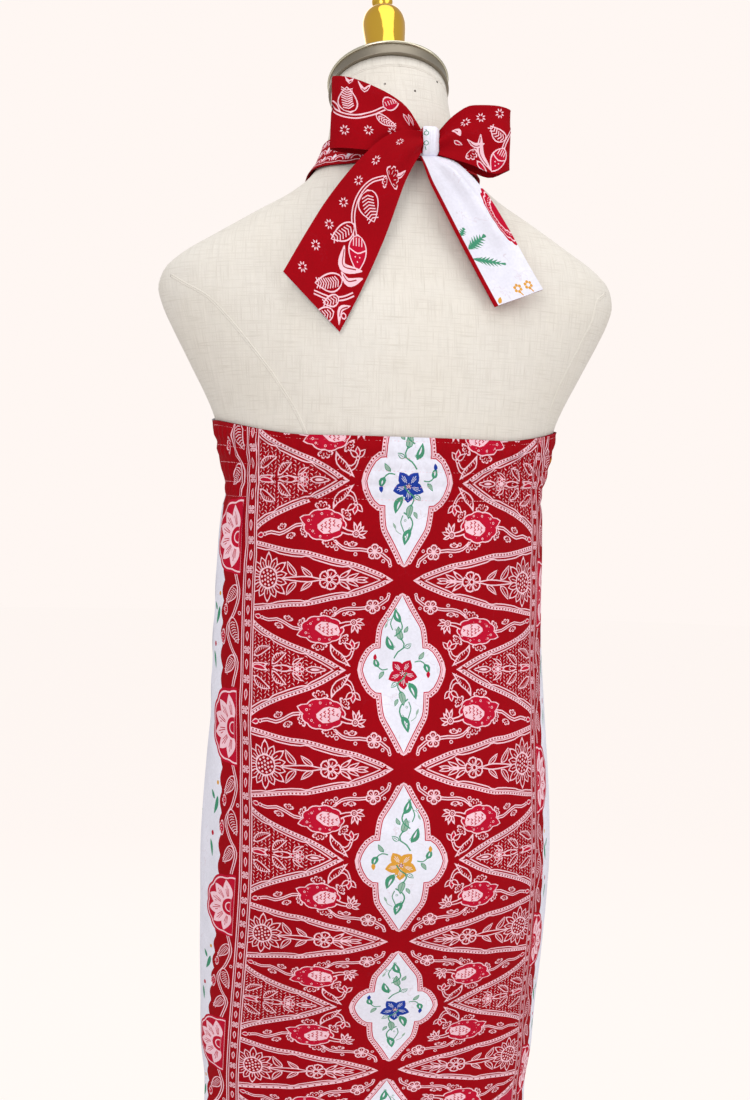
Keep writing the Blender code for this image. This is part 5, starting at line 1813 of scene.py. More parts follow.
def seamAlong(name, route, tree, linen, closed=False):
    # a narrow sewn seam that lies on the form: two rolled lips and the stitch line between them
    way = [0.0]
    for here, there in zip(route, route[1:]):
        way.append(way[-1] + (Vector(there) - Vector(here)).length)
    table = [(w, *place) for w, place in zip(way, route)]
    x, y, z = smoothTable(table, np.linspace(0, way[-1], max(8, round(way[-1] / 0.004))))
    rows = []
    places = [Vector(p) for p in zip(x, y, z)]
    for index, place in enumerate(places):
        spot, normal, _, _ = tree.find_nearest(place)
        before = places[max(index - 1, 0)]
        after = places[min(index + 1, len(places) - 1)]
        if closed and index in (0, len(places) - 1):
            before, after = places[-2], places[1]
        across = (after - before).cross(normal).normalized()
        profile = linenForm["seamProfile"]
        rows.append([spot + across * (side / 1000) + normal * (rise / 1000) for side, rise in profile])
    piece = gridPiece(name, np.array(rows), linen)
    recalculate(piece)
    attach(piece, "root")


def recalculate(piece):
    shell = bmesh.new()
    shell.from_mesh(piece.data)
    bmesh.ops.recalc_face_normals(shell, faces=shell.faces)
    shell.to_mesh(piece.data)
    shell.free()


def makePinHole(name, place, tree, dark):
    # a small eyelet, sunk in its middle, dark with painted shade
    size = linenForm["pinHole"]
    spot, normal, _, _ = tree.find_nearest(Vector(place))
    bpy.ops.mesh.primitive_cylinder_add(vertices=12, radius=size["radius"], depth=size["deep"], location=(0, 0, 0))
    hole = bpy.context.object
    hole.name = name
    bpy.ops.object.mode_set(mode="EDIT")
    bpy.ops.mesh.select_mode(type="FACE")
    bpy.ops.mesh.select_all(action="DESELECT")
    bpy.ops.object.mode_set(mode="OBJECT")
    for face in hole.data.polygons:
        face.select = face.normal.z > 0.9
    bpy.ops.object.mode_set(mode="EDIT")
    bpy.ops.mesh.inset(thickness=size["rim"], depth=-size["rim"])
    bpy.ops.mesh.select_mode(type="VERT")
    bpy.ops.object.mode_set(mode="OBJECT")
    turn = normal.to_track_quat("Z", "Y").to_matrix().to_4x4()
    hole.data.transform(Matrix.Translation(spot) @ turn)
    hole.data.materials.append(dark)
    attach(hole, "root")


def makeFormSeams(linen, tree):
    for name, route in linenForm["backSeams"].items():
        seamAlong(name, route, tree, linen)
    ring = formRing(linenForm["neckSeam"], np.linspace(0, 2 * math.pi, 90))
    seamAlong("linenNeckSeam", [tuple(p) for p in ring], tree, linen, closed=True)
    # the pin hole's dark colour is painted shade
    dark = plainMaterial("pinHoleShade", (0.05, 0.045, 0.04), 0.9)
    noise = addNode(dark.node_tree, "ShaderNodeTexNoise", Scale=900.0)
    tint = mixColour(dark.node_tree, noise.outputs["Fac"], (0.03, 0.028, 0.025), (0.10, 0.09, 0.075))
    dark.node_tree.links.new(tint, dark.node_tree.nodes["Principled BSDF"].inputs["Base Color"])
    for number, place in enumerate(linenForm["pinHoles"]):
        makePinHole("pinHole%d" % (number + 1), place, tree, dark)
    print("seams and pin holes made")


# turned metal: cap, finial, pole and base

metalParts = {
    "capRadius": 0.0545, "capHeight": 0.0140, "capCrown": 0.0050, "capGap": 0.0003, "rimBead": 0.0014,
    "neckTop": (0.0, 0.031, 1.502), "neckLean": -26.0,
    # the rim colour is a lighter copy of the cap's steel, a painted highlight
    "capColour": fromScreen(156, 148, 134), "rimHighlightColour": fromScreen(228, 222, 200),
    "goldColour": fromScreen(255, 209, 84),
    # the colour that the gold turns to where it faces away: a painted reflection
    "goldPaintedReflection": fromScreen(212, 152, 40),
    # radius and height above the cap
    "knob": (
        (0.0, 0.0960), (0.0055, 0.0948), (0.0092, 0.0905), (0.0094, 0.0862), (0.0068, 0.0818), (0.0064, 0.0785),
        (0.0082, 0.0762), (0.0138, 0.0738), (0.0178, 0.0690), (0.0195, 0.0620), (0.0194, 0.0540), (0.0184, 0.0430),
        (0.0171, 0.0300), (0.0164, 0.0120), (0.0172, 0.0050),
    ),
    "base": (
        (0.0, 0.012), (0.0163, 0.012), (0.0163, 0.050), (0.024, 0.050), (0.026, 0.047), (0.026, 0.024),
        (0.038, 0.017), (0.140, 0.0125), (0.174, 0.009), (0.180, 0.005), (0.180, 0.0), (0.0, 0.0),
    ),
    "pole": (
        (0.0, 0.6997), (0.050, 0.6997), (0.050, 0.6937), (0.016, 0.6897), (0.016, 0.0123), (0.0, 0.0123),
    ),
}


def turnedPiece(name, profile, material, steps=96):
    # the profile runs from the axis at the top, down the outside, to the axis below
    bpy.ops.object.select_all(action="DESELECT")
    bpy.ops.mesh.primitive_plane_add(size=0.01, location=(0, 0, 0))
    piece = bpy.context.object
    piece.name = name
    bpy.ops.object.mode_set(mode="EDIT")
    bpy.ops.mesh.select_all(action="SELECT")
    bpy.ops.mesh.merge(type="CENTER")
    bpy.ops.transform.translate(value=(profile[0][0], 0, profile[0][1]))
    for here, there in zip(profile, profile[1:]):
        move = (there[0] - here[0], 0, there[1] - here[1])
        bpy.ops.mesh.extrude_region_move(TRANSFORM_OT_translate={"value": move})
    bpy.ops.mesh.select_all(action="SELECT")
    bpy.ops.mesh.spin(steps=steps, angle=2 * math.pi, center=(0, 0, 0), axis=(0, 0, 1))
    bpy.ops.mesh.select_all(action="SELECT")
    bpy.ops.mesh.remove_doubles(threshold=0.00001)
    bpy.ops.mesh.normals_make_consistent(inside=False)
    bpy.ops.object.mode_set(mode="OBJECT")
    bpy.ops.object.shade_smooth_by_angle(angle=math.radians(38))
    piece.data.materials.clear()
    piece.data.materials.append(material)
    return piece


def softProfile(points, radius):
    # a profile with its corners rounded
    profile = [points[0]]
    for before, corner, after in zip(points, points[1:], points[2:]):
        corner = Vector(corner)
        a = Vector(before) - corner
        b = Vector(after) - corner
        reach = min(radius, a.length * 0.45, b.length * 0.45)
        start = corner + a.normalized() * reach
        end = corner + b.normalized() * reach
        for step in range(4):
            t = step / 3
            profile.append(tuple(start * (1 - t) ** 2 + corner * 2 * t * (1 - t) + end * t**2))
    return profile + [points[-1]]


def metalMaterial(name, colour, roughness, brushed, spots, edge=None):
    material, tree, shader = newMaterial(name, Metallic=1.0)
    place = tree.nodes.new("ShaderNodeTexCoord").outputs["Object"]
    run = stretchCoordinate(tree, place, (1.0, 1.0, 14.0) if brushed else (1.0, 1.0, 1.0))
    grain = addNoise(tree, run, Scale=120.0, Detail=4.0, Roughness=0.65)
    cloud = addNoise(tree, place, Scale=24.0, Detail=3.0)
    tone = mixColour(tree, cloud, colour, tuple(c * 0.80 for c in colour))
    if edge:
        # painted reflection: the colour turns to the edge colour where the surface turns away from the eye
        facing = addNode(tree, "ShaderNodeLayerWeight", Blend=0.42)
        tone = mixColour(tree, facing.outputs["Facing"], tone, edge)
    specks = mathNode(tree, "MULTIPLY", spanShare(tree, grain, 0.70, 0.76), spots)
    marked = mixColour(tree, specks, tone, tuple(c * 0.35 for c in colour))
    tree.links.new(marked, shader.inputs["Base Color"])
    rough = mathNode(tree, "MULTIPLY_ADD", grain, 0.16 if brushed else 0.08, roughness)
    tree.links.new(rough, shader.inputs["Roughness"])
    addBump(tree, grain, 0.25 if brushed else 0.06, 0.0002)
    return material


def placeOnNeck(piece):
    turn = Matrix.Rotation(math.radians(metalParts["neckLean"]), 4, "X")
    piece.data.transform(Matrix.Translation(Vector(metalParts["neckTop"])) @ turn)


def makeCap():
    capMetal = metalMaterial("capSteel", metalParts["capColour"], 0.40, True, 0.35)
    # the rim's lighter steel is a painted highlight
    rimHighlightMetal = metalMaterial("capRimHighlightSteel", metalParts["rimHighlightColour"], 0.16, False, 0.15)
    radius, height, crown, gap = (metalParts[k] for k in ("capRadius", "capHeight", "capCrown", "capGap"))
    lid = [
        (0.0, height + crown), (0.020, height + crown * 0.85), (0.038, height + crown * 0.45),
        (radius - 0.0045, height - 0.0002), (radius - 0.0022, height - 0.0010), (radius - 0.0016, height - 0.0032),
        (radius - 0.0010, 0.0030), (radius - 0.0006, 0.0012), (radius - 0.0008, gap), (0.0, gap),
    ]
    cap = turnedPiece("capLid", softProfile(lid, 0.0010), capMetal)
    placeOnNeck(cap)
    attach(cap, "root")
    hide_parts("neck_cap")
    # the bead rolled round the lid's upper edge; its lighter steel colour is a painted highlight
    bead = metalParts["rimBead"]
    middle = (radius - bead, height - 0.0016)
    circle = [
        (middle[0] + bead * math.cos(angle), middle[1] + bead * math.sin(angle))
        for angle in np.linspace(0, 2 * math.pi, 13)
    ]
    rim = turnedPiece("capRim", circle, rimHighlightMetal)
    placeOnNeck(rim)
    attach(rim, "root")


def makeGold():
    gold = metalMaterial("goldPlate", metalParts["goldColour"], 0.05, False, 0.25, metalParts["goldPaintedReflection"])
    foot = metalParts["capHeight"] + metalParts["capCrown"] + metalParts["capGap"]
    knob = curve([(r * 1000, (foot + z) * 1000) for r, z in metalParts["knob"]], 1.3) / 1000
    knob[:, 0] = np.maximum(knob[:, 0], 0)
    collar = [(0.0186, foot + 0.0042), (0.0190, foot + 0.0020), (0.0185, foot), (0.0, foot)]
    finial = turnedPiece("goldFinial", [tuple(p) for p in knob] + collar, gold, 80)
    placeOnNeck(finial)
    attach(finial, "root")
    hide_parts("finial")
    stand = turnedPiece("goldBase", softProfile(metalParts["base"], 0.003), gold, 128)
    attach(stand, "root")
    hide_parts("stand_base")
    pole = turnedPiece("goldPole", softProfile(metalParts["pole"], 0.001), gold, 64)
    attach(pole, "root")
    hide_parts("stand_pole")
    print("metal parts made")


# the straps and the bow

bowShape = {
    "knot": (0.0170, 1.4385),
    "knotSize": (0.0170, 0.0190, 0.0260),
    "knotSquareness": 0.62,  # 1 is an ellipse
    "cloth": 0.0012,
    "lift": 0.0030,  # from the form to the outside of the straps
    "clear": 0.0042,  # least room between the form and the outside of a tail
    "grid": 4.5,  # spacing of the points between the lines of the print, mm
    "bakeWide": 0.66,
    # flat widths that the print is laid out for, mm
    "wide": {"strap": 42.0, "leftLoop": 58.0, "rightLoop": 56.0, "leftTail": 60.0, "rightTail": 52.0},
    # the middle of a strap, and its width there
    "strap": (
        (0.0610, 0.078, 1.345, 0.046), (0.0620, 0.066, 1.3700, 0.045), (0.0640, 0.046, 1.3970, 0.041),
        (0.0660, 0.024, 1.4180, 0.036), (0.0665, 0.004, 1.4285, 0.033), (0.0640, -0.014, 1.4320, 0.032),
        (0.0560, -0.034, 1.4340, 0.031), (0.0420, -0.050, 1.4355, 0.030),
    ),
    "strapFoot": 1.345,
    "strapEnd": 0.028,
    # how far out, top, bottom, how far before and behind the knot's middle
    "leftLoop": (
        (0.0088, 0.0085, -0.0115, 0.0030, 0.0025), (0.0240, 0.0265, -0.0135, 0.0090, 0.0045),
        (0.0450, 0.0370, -0.0130, 0.0130, 0.0050), (0.0670, 0.0445, -0.0120, 0.0120, 0.0060),
        (0.0830, 0.0480, -0.0110, 0.0050, 0.0030),
    ),
    "rightLoop": (
        (0.0088, 0.0085, -0.0110, 0.0030, 0.0025), (0.0180, 0.0200, -0.0145, 0.0080, 0.0045),
        (0.0330, 0.0295, -0.0190, 0.0120, 0.0050), (0.0540, 0.0310, -0.0250, 0.0110, 0.0060),
        (0.0690, 0.0300, -0.0190, 0.0050, 0.0030),
    ),
    # left edge across and up, right edge across and up, their depths, and the crown between them
    "leftTail": (
        (-0.0080, 0.0065, -0.0080, -0.0100, 0.0070, 0.0070, 0.0005),
        (-0.0260, 0.0045, -0.0150, -0.0220, 0.0140, 0.0130, 0.0020),
        (-0.0410, -0.0030, -0.0215, -0.0350, 0.0175, 0.0150, 0.0035),
        (-0.0600, -0.0210, -0.0270, -0.0505, 0.0175, 0.0160, 0.0040),
        (-0.0840, -0.0515, -0.0400, -0.0870, 0.0170, 0.0210, 0.0030),
        (-0.1020, -0.0810, -0.0560, -0.1240, 0.0200, 0.0270, 0.0020),
        (-0.1220, -0.1170, -0.0760, -0.1640, 0.0260, 0.0335, 0.0000),
    ),
    "rightTail": (
        (-0.0080, -0.0133, 0.0080, -0.0133, 0.0030, 0.0030, 0.0000),
        (-0.0050, -0.0220, 0.0190, -0.0165, 0.0080, 0.0070, 0.0030),
        (-0.0010, -0.0340, 0.0320, -0.0260, 0.0110, 0.0090, 0.0055),
        (0.0065, -0.0490, 0.0460, -0.0410, 0.0130, 0.0110, 0.0060),
        (0.0230, -0.0820, 0.0640, -0.0690, 0.0190, 0.0150, 0.0045),
        (0.0370, -0.1090, 0.0790, -0.0950, 0.0250, 0.0200, 0.0030),
        (0.0520, -0.1380, 0.0940, -0.1210, 0.0315, 0.0260, 0.0010),
    ),
}


def strapGrid(tree, hand, columns=10, steps=56):
    # a strap lies on the form, from the front's upper end round to the nape
    knotX, knotZ = bowShape["knot"]
    end = knotX + hand * 0.0005
    route = [(hand * x, y, z, width) for x, y, z, width in bowShape["strap"]]
    route.append((end, -0.060, knotZ, bowShape["strapEnd"]))
    way = [0.0]
    for here, there in zip(route, route[1:]):
        way.append(way[-1] + (Vector(there[:3]) - Vector(here[:3])).length)
    table = [(w, *row) for w, row in zip(way, route)]
    x, y, z, wide = smoothTable(table, np.linspace(0, way[-1], steps + 1))
    places = [Vector(place) for place in zip(x, y, z)]
    level = 4 * way[-1] / round(way[-1] / 0.0095)
    rows = []
    for index, place in enumerate(places):
        before = places[max(index - 1, 0)]
        after = places[min(index + 1, steps)]
        _, normal, _, _ = tree.find_nearest(place)
        across = (after - before).cross(normal)
        across.z *= min(index / steps * way[-1] / level, 1)
        across = across.normalized() * wide[index]
        if index == steps:
            across = Vector((0, 0, math.copysign(wide[index], across.z)))
        row = []
        for share in np.linspace(-0.5, 0.5, columns + 1):
            spot, up, _, _ = tree.find_nearest(place + across * share)
            row.append(spot + up * bowShape["lift"])
        if index == 0:
            row = [Vector((p.x, p.y, bowShape["strapFoot"] + 0.0007)) for p in row]
        if index == steps:
            row = [Vector((end, p.y, p.z)) for p in row]
        rows.append(row)
    rows = np.array(rows)
    return rows if rows[steps // 2, 0, 2] > rows[steps // 2, -1, 2] else rows[:, ::-1]


def loopGrid(table, hand, knotY, steps=44, columns=12):
    # a loop runs out behind the knot and comes back in front of it
    knotX, knotZ = bowShape["knot"]
    first, last = table[0][0], table[-1][0]
    rows = []
    for step in range(steps + 1):
        turn = math.pi * step / steps
        out = float(first + (last - first) * math.sin(turn))
        top, bottom, behind, before = (float(c) for c in smoothTable(table, out))
        side = math.cos(turn) / max(abs(math.cos(turn)), 0.35)
        depth = behind * side if side > 0 else before * side
        row = []
        for share in np.linspace(0, 1, columns + 1):
            swell = 0.0015 * math.sin(turn) * math.sin(math.pi * share)
            row.append((knotX + hand * out, knotY - depth - swell, knotZ + top * (1 - share) + bottom * share))
        rows.append(row)
    return np.array(rows)


def tailGrid(tree, table, knotY, steps=44, columns=12):
    # a tail hangs from the knot, and keeps clear of the form behind it
    knotX, knotZ = bowShape["knot"]
    timed = [(t, *row) for t, row in zip(np.linspace(0, 1, len(table)), table)]
    rows = []
    for step in range(steps + 1):
        values = [float(c) for c in smoothTable(timed, step / steps)]
        leftX, leftZ, rightX, rightZ, leftDepth, rightDepth, crown = values
        row = []
        for share in np.linspace(0, 1, columns + 1):
            x = leftX * (1 - share) + rightX * share
            z = leftZ * (1 - share) + rightZ * share
            depth = leftDepth * (1 - share) + rightDepth * share + crown * math.sin(math.pi * share)
            hit, _, _, _ = tree.ray_cast(Vector((knotX + x, -0.4, knotZ + z)), Vector((0, 1, 0)))
            row.append((knotX + x, min(knotY - depth, hit.y - bowShape["clear"]), knotZ + z))
        rows.append(row)
    return np.array(rows)


class Ribbon:
    # a cloth strip: flat millimetres from its sewn end, and from its middle, to places on its grid
    def __init__(self, grid, width, liftOf, flip=False):
        self.grid = grid
        self.width = width
        self.liftOf = liftOf
        self.sign = -1 if flip else 1
        middle = grid[:, grid.shape[1] // 2]
        step = np.linalg.norm(np.diff(middle, axis=0), axis=1)
        self.way = np.concatenate([[0], np.cumsum(step)]) * 1000
        self.length = float(self.way[-1])

    def at(self, s, w):
        rows, columns = self.grid.shape[:2]
        u = np.interp(s, self.way, np.arange(rows))
        t = np.clip(w / self.width + 0.5, 0, 1) * (columns - 1)
        padded = self.grid
        for axis in (0, 1):
            # one more row and column at each end, carried straight on
            ends = np.swapaxes(padded, 0, axis)
            ends = np.concatenate([2 * ends[:1] - ends[1:2], ends, 2 * ends[-1:] - ends[-2:-1]])
            padded = np.swapaxes(ends, 0, axis)
        i = np.clip(u.astype(int), 0, rows - 2)
        j = np.clip(t.astype(int), 0, columns - 2)
        a, b = u - i, t - j
        total = 0
        for di, ka in enumerate(self.weights(a)):
            for dj, kb in enumerate(self.weights(b)):
                total = total + padded[i + di, j + dj] * (ka * kb)[:, None]
        return total

    def weights(self, t):
        # the four shares of a smooth curve between its points
        return (
            0.5 * (-t + 2 * t**2 - t**3),
            0.5 * (2 - 5 * t**2 + 3 * t**3),
            0.5 * (t + 4 * t**2 - 3 * t**3),
            0.5 * (-(t**2) + t**3),
        )

    def direction(self, s, w, place):
        h = 0.35
        half = self.width / 2
        along = place(np.clip(s + h, 0, self.length), w) - place(np.clip(s - h, 0, self.length), w)
        across = place(s, np.clip(w + h, -half, half)) - place(s, np.clip(w - h, -half, half))
        normal = np.cross(across, along) * self.sign
        return normal / np.maximum(np.linalg.norm(normal, axis=1, keepdims=True), 1e-12)

    def lifted(self, s, w):
        return self.at(s, w) + self.direction(s, w, self.at) * (self.liftOf(s, w) / 1000)[:, None]

    def place(self, flat):
        s, w = flat[:, 0], flat[:, 1] * self.sign
        return self.lifted(s, w), self.direction(s, w, self.lifted)


def ribbonPiece(name, ribbon, drawing, ground, insideDye, node, spacing=bowShape["grid"]):
    half = ribbon.width / 2
    length = ribbon.length
    s = np.linspace(0, length, max(6, round(length / 4)))
    w = np.linspace(-half, half, max(5, round(ribbon.width / 4)))
    line = [(a, -half) for a in s[:-1]] + [(length, b) for b in w[:-1]]
    line += [(a, half) for a in s[::-1][:-1]] + [(0, b) for b in w[::-1][:-1]]
    line = np.array(line)
    shapes = [(outline * (1, ribbon.sign), number) for outline, number in drawing.shapes]
    flat, triangles, dyeOf = cutFlat(line, shapes, flatGrid(line, spacing, 1.0), ground)
    inside = flatGrid(line, spacing * 1.4, 2.0)
    piece, area = clothPiece(
        name, flat, triangles, dyeOf, ribbon.place, inside, insideDye, bowShape["cloth"], bowShape["bakeWide"]
    )
    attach(piece, "root")
    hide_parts(node)


def drawFloret(d, s, w, radius=4.2):
    for number in range(8):
        away = heading(number * math.pi / 4 + 0.3)
        middle = np.array([s, w])
        d.leaf(middle + away * radius * 0.36, middle + away * radius * 1.06, 1.3, inside=None, line=0.0, step=9)


def drawCombLeaf(d, base, tip, width, bend, teeth=7):
    # a leaf with a herringbone of short strokes
    middle = d.leaf(base, tip, width, bend, "red", 1.15)
    for side in (1, -1):
        d.combs(middle, side, 0.18, 0.86, teeth, width * 0.27, 2.2, width=0.85)


def drawStem(d, points, gap=1.35):
    line = curve(points, 3.2)
    for shift in (-gap, gap):
        d.stroke(moveSideways(line, shift), 1.1, smooth=False)


def drawBudFlower(d, base, tip, width):
    # a bud with banded cup and dots
    base, tip = np.array(base, float), np.array(tip, float)
    long = np.hypot(*(tip - base))
    along = (tip - base) / long
    across = leftOf(along)
    d.leaf(base, tip, width, 0.0, "crimson", 1.1)
    for number in range(4):
        spot = base + along * long * 0.10 + across * (number - 1.5) * width * 0.15
        d.stroke([spot, spot + along * long * 0.22], 0.85, smooth=False)
    band = base + along * long * 0.40
    d.stroke([band - across * width * 0.44, base + along * long * 0.50, band + across * width * 0.44], 0.95)
    for reach, beside in ((0.60, -0.12), (0.60, 0.12), (0.72, 0.0)):
        d.disc(base + along * long * reach + across * (beside * width), 0.65, "wax", 5)


def drawCurl(d, start, bend, end, width):
    # a curled petal: wax, with a red line along it
    line = curve([start, bend, end], 2.6)
    share = np.linspace(0, 1, len(line))
    half = width / 2 * np.sin(math.pi * np.clip(share, 0.02, 0.98)) ** 0.7
    side = moveSideways(line, 1.0) - line
    d.fill(np.concatenate([line + side * half[:, None], (line - side * half[:, None])[::-1]]), "wax")
    d.stroke(line[1:-2] + side[1:-2] * half[1:-2, None] * 0.25, 0.85, "red", smooth=False)


def drawLeftTail():
    d = Drawing()
    for s, w in ((22, -14), (46, -16), (67, -17), (89, -17), (112, -17.5), (134, -18.5), (156, -19)):
        drawFloret(d, s, w)
    drawStem(d, [(51, 3.0), (60, -5.5), (70, -8.8), (82, -8.0), (94, -3.0), (106, 7.0)])
    drawCurl(d, (28, 23), (37, 19), (43, 10), 5.2)
    d.fan((49, 10.5), 2.9, 12.5, 5, 3.0)
    d.fan((51, 9.0), -0.9, 6.4, 3, 2.4)
    drawCombLeaf(d, (68, -5.0), (85, 15.5), 21.0, -1.5, 8)
    drawCombLeaf(d, (97, 0.5), (121, -10.5), 13.5, 1.2, 7)
    drawBudFlower(d, (102, 7.0), (126, 21.0), 17.5)
    drawCurl(d, (117, 1.5), (131, 8.0), (122, 24.0), 6.6)
    drawCurl(d, (135, 9.0), (137, 18.0), (126, 27.0), 6.0)
    drawCombLeaf(d, (138, 13.0), (158, -5.0), 14.0, 1.5, 9)
    drawStem(d, [(141, 26.0), (150, 20.0), (158, 11.0), (164, -2.0)], 1.2)
    drawCombLeaf(d, (151, 17.0), (165, 8.0), 9.0, 1.0, 5)
    drawCombLeaf(d, (163, 19.0), (178, 6.0), 11.0, 1.0, 6)
    d.ring((160, 27.0), 2.6, 1.0)
    drawCurl(d, (150, 28.0), (158, 22.5), (168, 27.0), 4.0)
    return d


def drawLeftLoop(length):
    # the near half; the half behind it carries on with the same vine
    d = Drawing()
    drawFloret(d, 69, 14.5)
    drawFloret(d, 49, 11.5)
    drawFloret(d, 29, 7.5)
    drawStem(d, [(86.2, -6.0), (73.9, 1.5), (60.7, 2.5), (46.6, -4.0), (36.1, -13.0)])
    drawCombLeaf(d, (64.2, 0.5), (67.8, -21.0), 17.5, 1.5, 9)
    d.stroke([(73, 0.5), (76.6, -6.0), (81.8, -9.0)], 1.1)
    drawCurl(d, (48.4, -29), (53.7, -22), (59, -28), 3.4)
    drawCurl(d, (62.5, -29), (66, -25), (69.5, -29), 2.6)
    d.leaf((37, -13.0), (23.8, -25.0), 12.0, 1.5, "crimson", 1.15)
    d.combs(curve([(35.2, -15), (29.9, -20), (25.5, -24)], 3.0), 1, 0.1, 0.9, 5, 3.4, 0.6, width=0.85)
    drawCombLeaf(d, (44, -5.0), (25.5, 0.5), 10.0, -1.6, 7)
    d.leaf((19.4, -18), (11.4, -12), 5.0, 0.8, "crimson", 1.0)
    d.leaf((15, -22), (7.9, -17), 4.4, 0.5, "crimson", 1.0)
    for s in np.arange(100, length - 8, 25.0):
        drawFloret(d, s, 13.0 + 2 * math.sin(s))
        drawCombLeaf(d, (s + 2, -2.0), (s + 16, -16.0), 13.0, 1.5, 7)
        drawStem(d, [(s - 4, -4.0), (s + 8, 1.5), (s + 21, -4.0)])
    return d


def drawRightLoop(length):
    d = Drawing()
    for s, w in ((51.5, -22), (35, -17), (22.1, -13)):
        drawFloret(d, s, w)
    drawCombLeaf(d, (58.9, 0.0), (43.2, -11.0), 11.5, -2.0, 6)
    drawStem(d, [(75.4, -12.0), (66.2, -8.0), (58.9, 0.5), (55.2, 9.0)], 1.25)
    drawBudFlower(d, (57, 7.0), (45.1, 27.0), 15.0)
    drawCurl(d, (35, -2.0), (35.9, 15.0), (45.1, 26.0), 6.0)
    drawCurl(d, (23.9, 4.5), (30.4, 9.0), (38.6, 5.0), 4.6)
    d.fan((24.8, 16.0), 0.6, 8.0, 4, 2.6)
    drawCurl(d, (11, -9.0), (15.6, -6.5), (18.4, 0.5), 4.6)
    d.leaf((12.9, 4.0), (20.2, 10.0), 4.6, 0.8, "crimson", 1.0)
    d.leaf((32.2, 22.0), (41.4, 28.0), 6.0, 0.8, "crimson", 1.0)
    for s in np.arange(86, length - 8, 25.0):
        drawFloret(d, s, -16.0 + 2 * math.sin(s))
        drawCombLeaf(d, (s + 2, 4.0), (s + 16, 18.0), 13.0, -1.5, 7)
        drawStem(d, [(s - 4, 6.0), (s + 8, 0.5), (s + 21, 6.0)])
    return d


def drawFernLeaf(d, base, tip, width, teeth=7):
    base = np.array(base, float)
    along = np.array(tip, float) - base
    side = leftOf(along) / np.hypot(*along)
    left, right = [base], [base + along]
    for number in range(teeth):
        t = (number + 1) / (teeth + 1)
        reach = width / 2 * math.sin(math.pi * t**0.8)
        for shift, share in ((-0.10, 0.22), (0.09, 1.0)):
            middle = base + along * (t + shift)
            left.append(middle + side * reach * share)
            right.insert(1, middle - side * reach * share)
    d.fill(left + right, "green")


def drawWhiteTail(ribbon):
    d = Drawing()
    half, length = ribbon.width / 2, ribbon.length
    d.fill([(0, -half - 1)] + [(s, -half + 3.8) for s in np.linspace(0, length, 30)] + [(length, -half - 1)], "red")
    drawFernLeaf(d, (79, -half + 3.4), (73, -half + 10), 7.0, 4)
    drawFernLeaf(d, (91, -half + 4.0), (83, -half + 26), 12.0, 7)
    drawFernLeaf(d, (100, -half + 3.6), (112, -half + 30), 9.0, 8)
    outline = []
    for angle in np.linspace(math.pi * 1.02, math.pi * 1.98, 25):
        wave = 1 + 0.09 * abs(math.sin(angle * 7))
        outline.append((70 + 27.0 * math.cos(angle) * wave, half + 1 + 13.5 * math.sin(angle) * wave))
    d.fill(outline, "crimson")
    middle = np.array([70.0, half + 1])
    for scale, dye in ((0.88, "wax"), (0.83, "crimson"), (0.62, "wax"), (0.56, "crimson")):
        d.fill(middle + (np.array(outline) - middle) * scale, dye)
    for angle in np.linspace(math.pi * 1.08, math.pi * 1.92, 17):
        d.disc(middle + (19.6 * math.cos(angle), 9.8 * math.sin(angle)), 0.6, "wax", 4)
    for w in (3.0, 14.0):
        for number in range(6):
            d.disc(np.array([length - 8.0, w]) + heading(number * math.pi / 3) * 2.9, 1.6, "gold", 5, number)
        d.disc((length - 8.0, w), 0.9, "white", 5)
        d.stroke([(length - 5.5, w), (length - 1.0, w + 2.0)], 1.1, "gold", smooth=False)
    d.leaf((length - 1, -half + 5.5), (length - 6, -half + 9.5), 3.6, inside=None, line=0.0, dye="gold")
    return d


def drawStrapPrint(ribbon):
    # scallops and small leaves above a plain red edge
    d = Drawing()
    half, length = ribbon.width / 2, ribbon.length
    for start in np.arange(-6, length + 6, 13.0):
        for base in (15.0, 2.0, -11.0):
            middle = np.array([start, base])
            outline = np.array(
                [middle + (6.3 * math.cos(angle), -8.0 * math.sin(angle)) for angle in np.linspace(0, math.pi, 9)]
            )
            for scale, dye in ((1.0, "wax"), (0.84, "crimson"), (0.62, "wax"), (0.46, "red")):
                d.fill(middle + (outline - middle) * scale, dye)
            d.leaf((start + 6.5, base - 1.5), (start + 6.5, base - 10.0), 4.0, 0.6, "white", 0.7)
        d.stroke([(start, 16.6), (start + 6.5, 17.8), (start + 13, 16.6)], 0.9)
    d.fill([(0, half + 1)] + [(s, half - 2.6) for s in np.linspace(0, length, 60)] + [(length, half + 1)], "red")
    return d


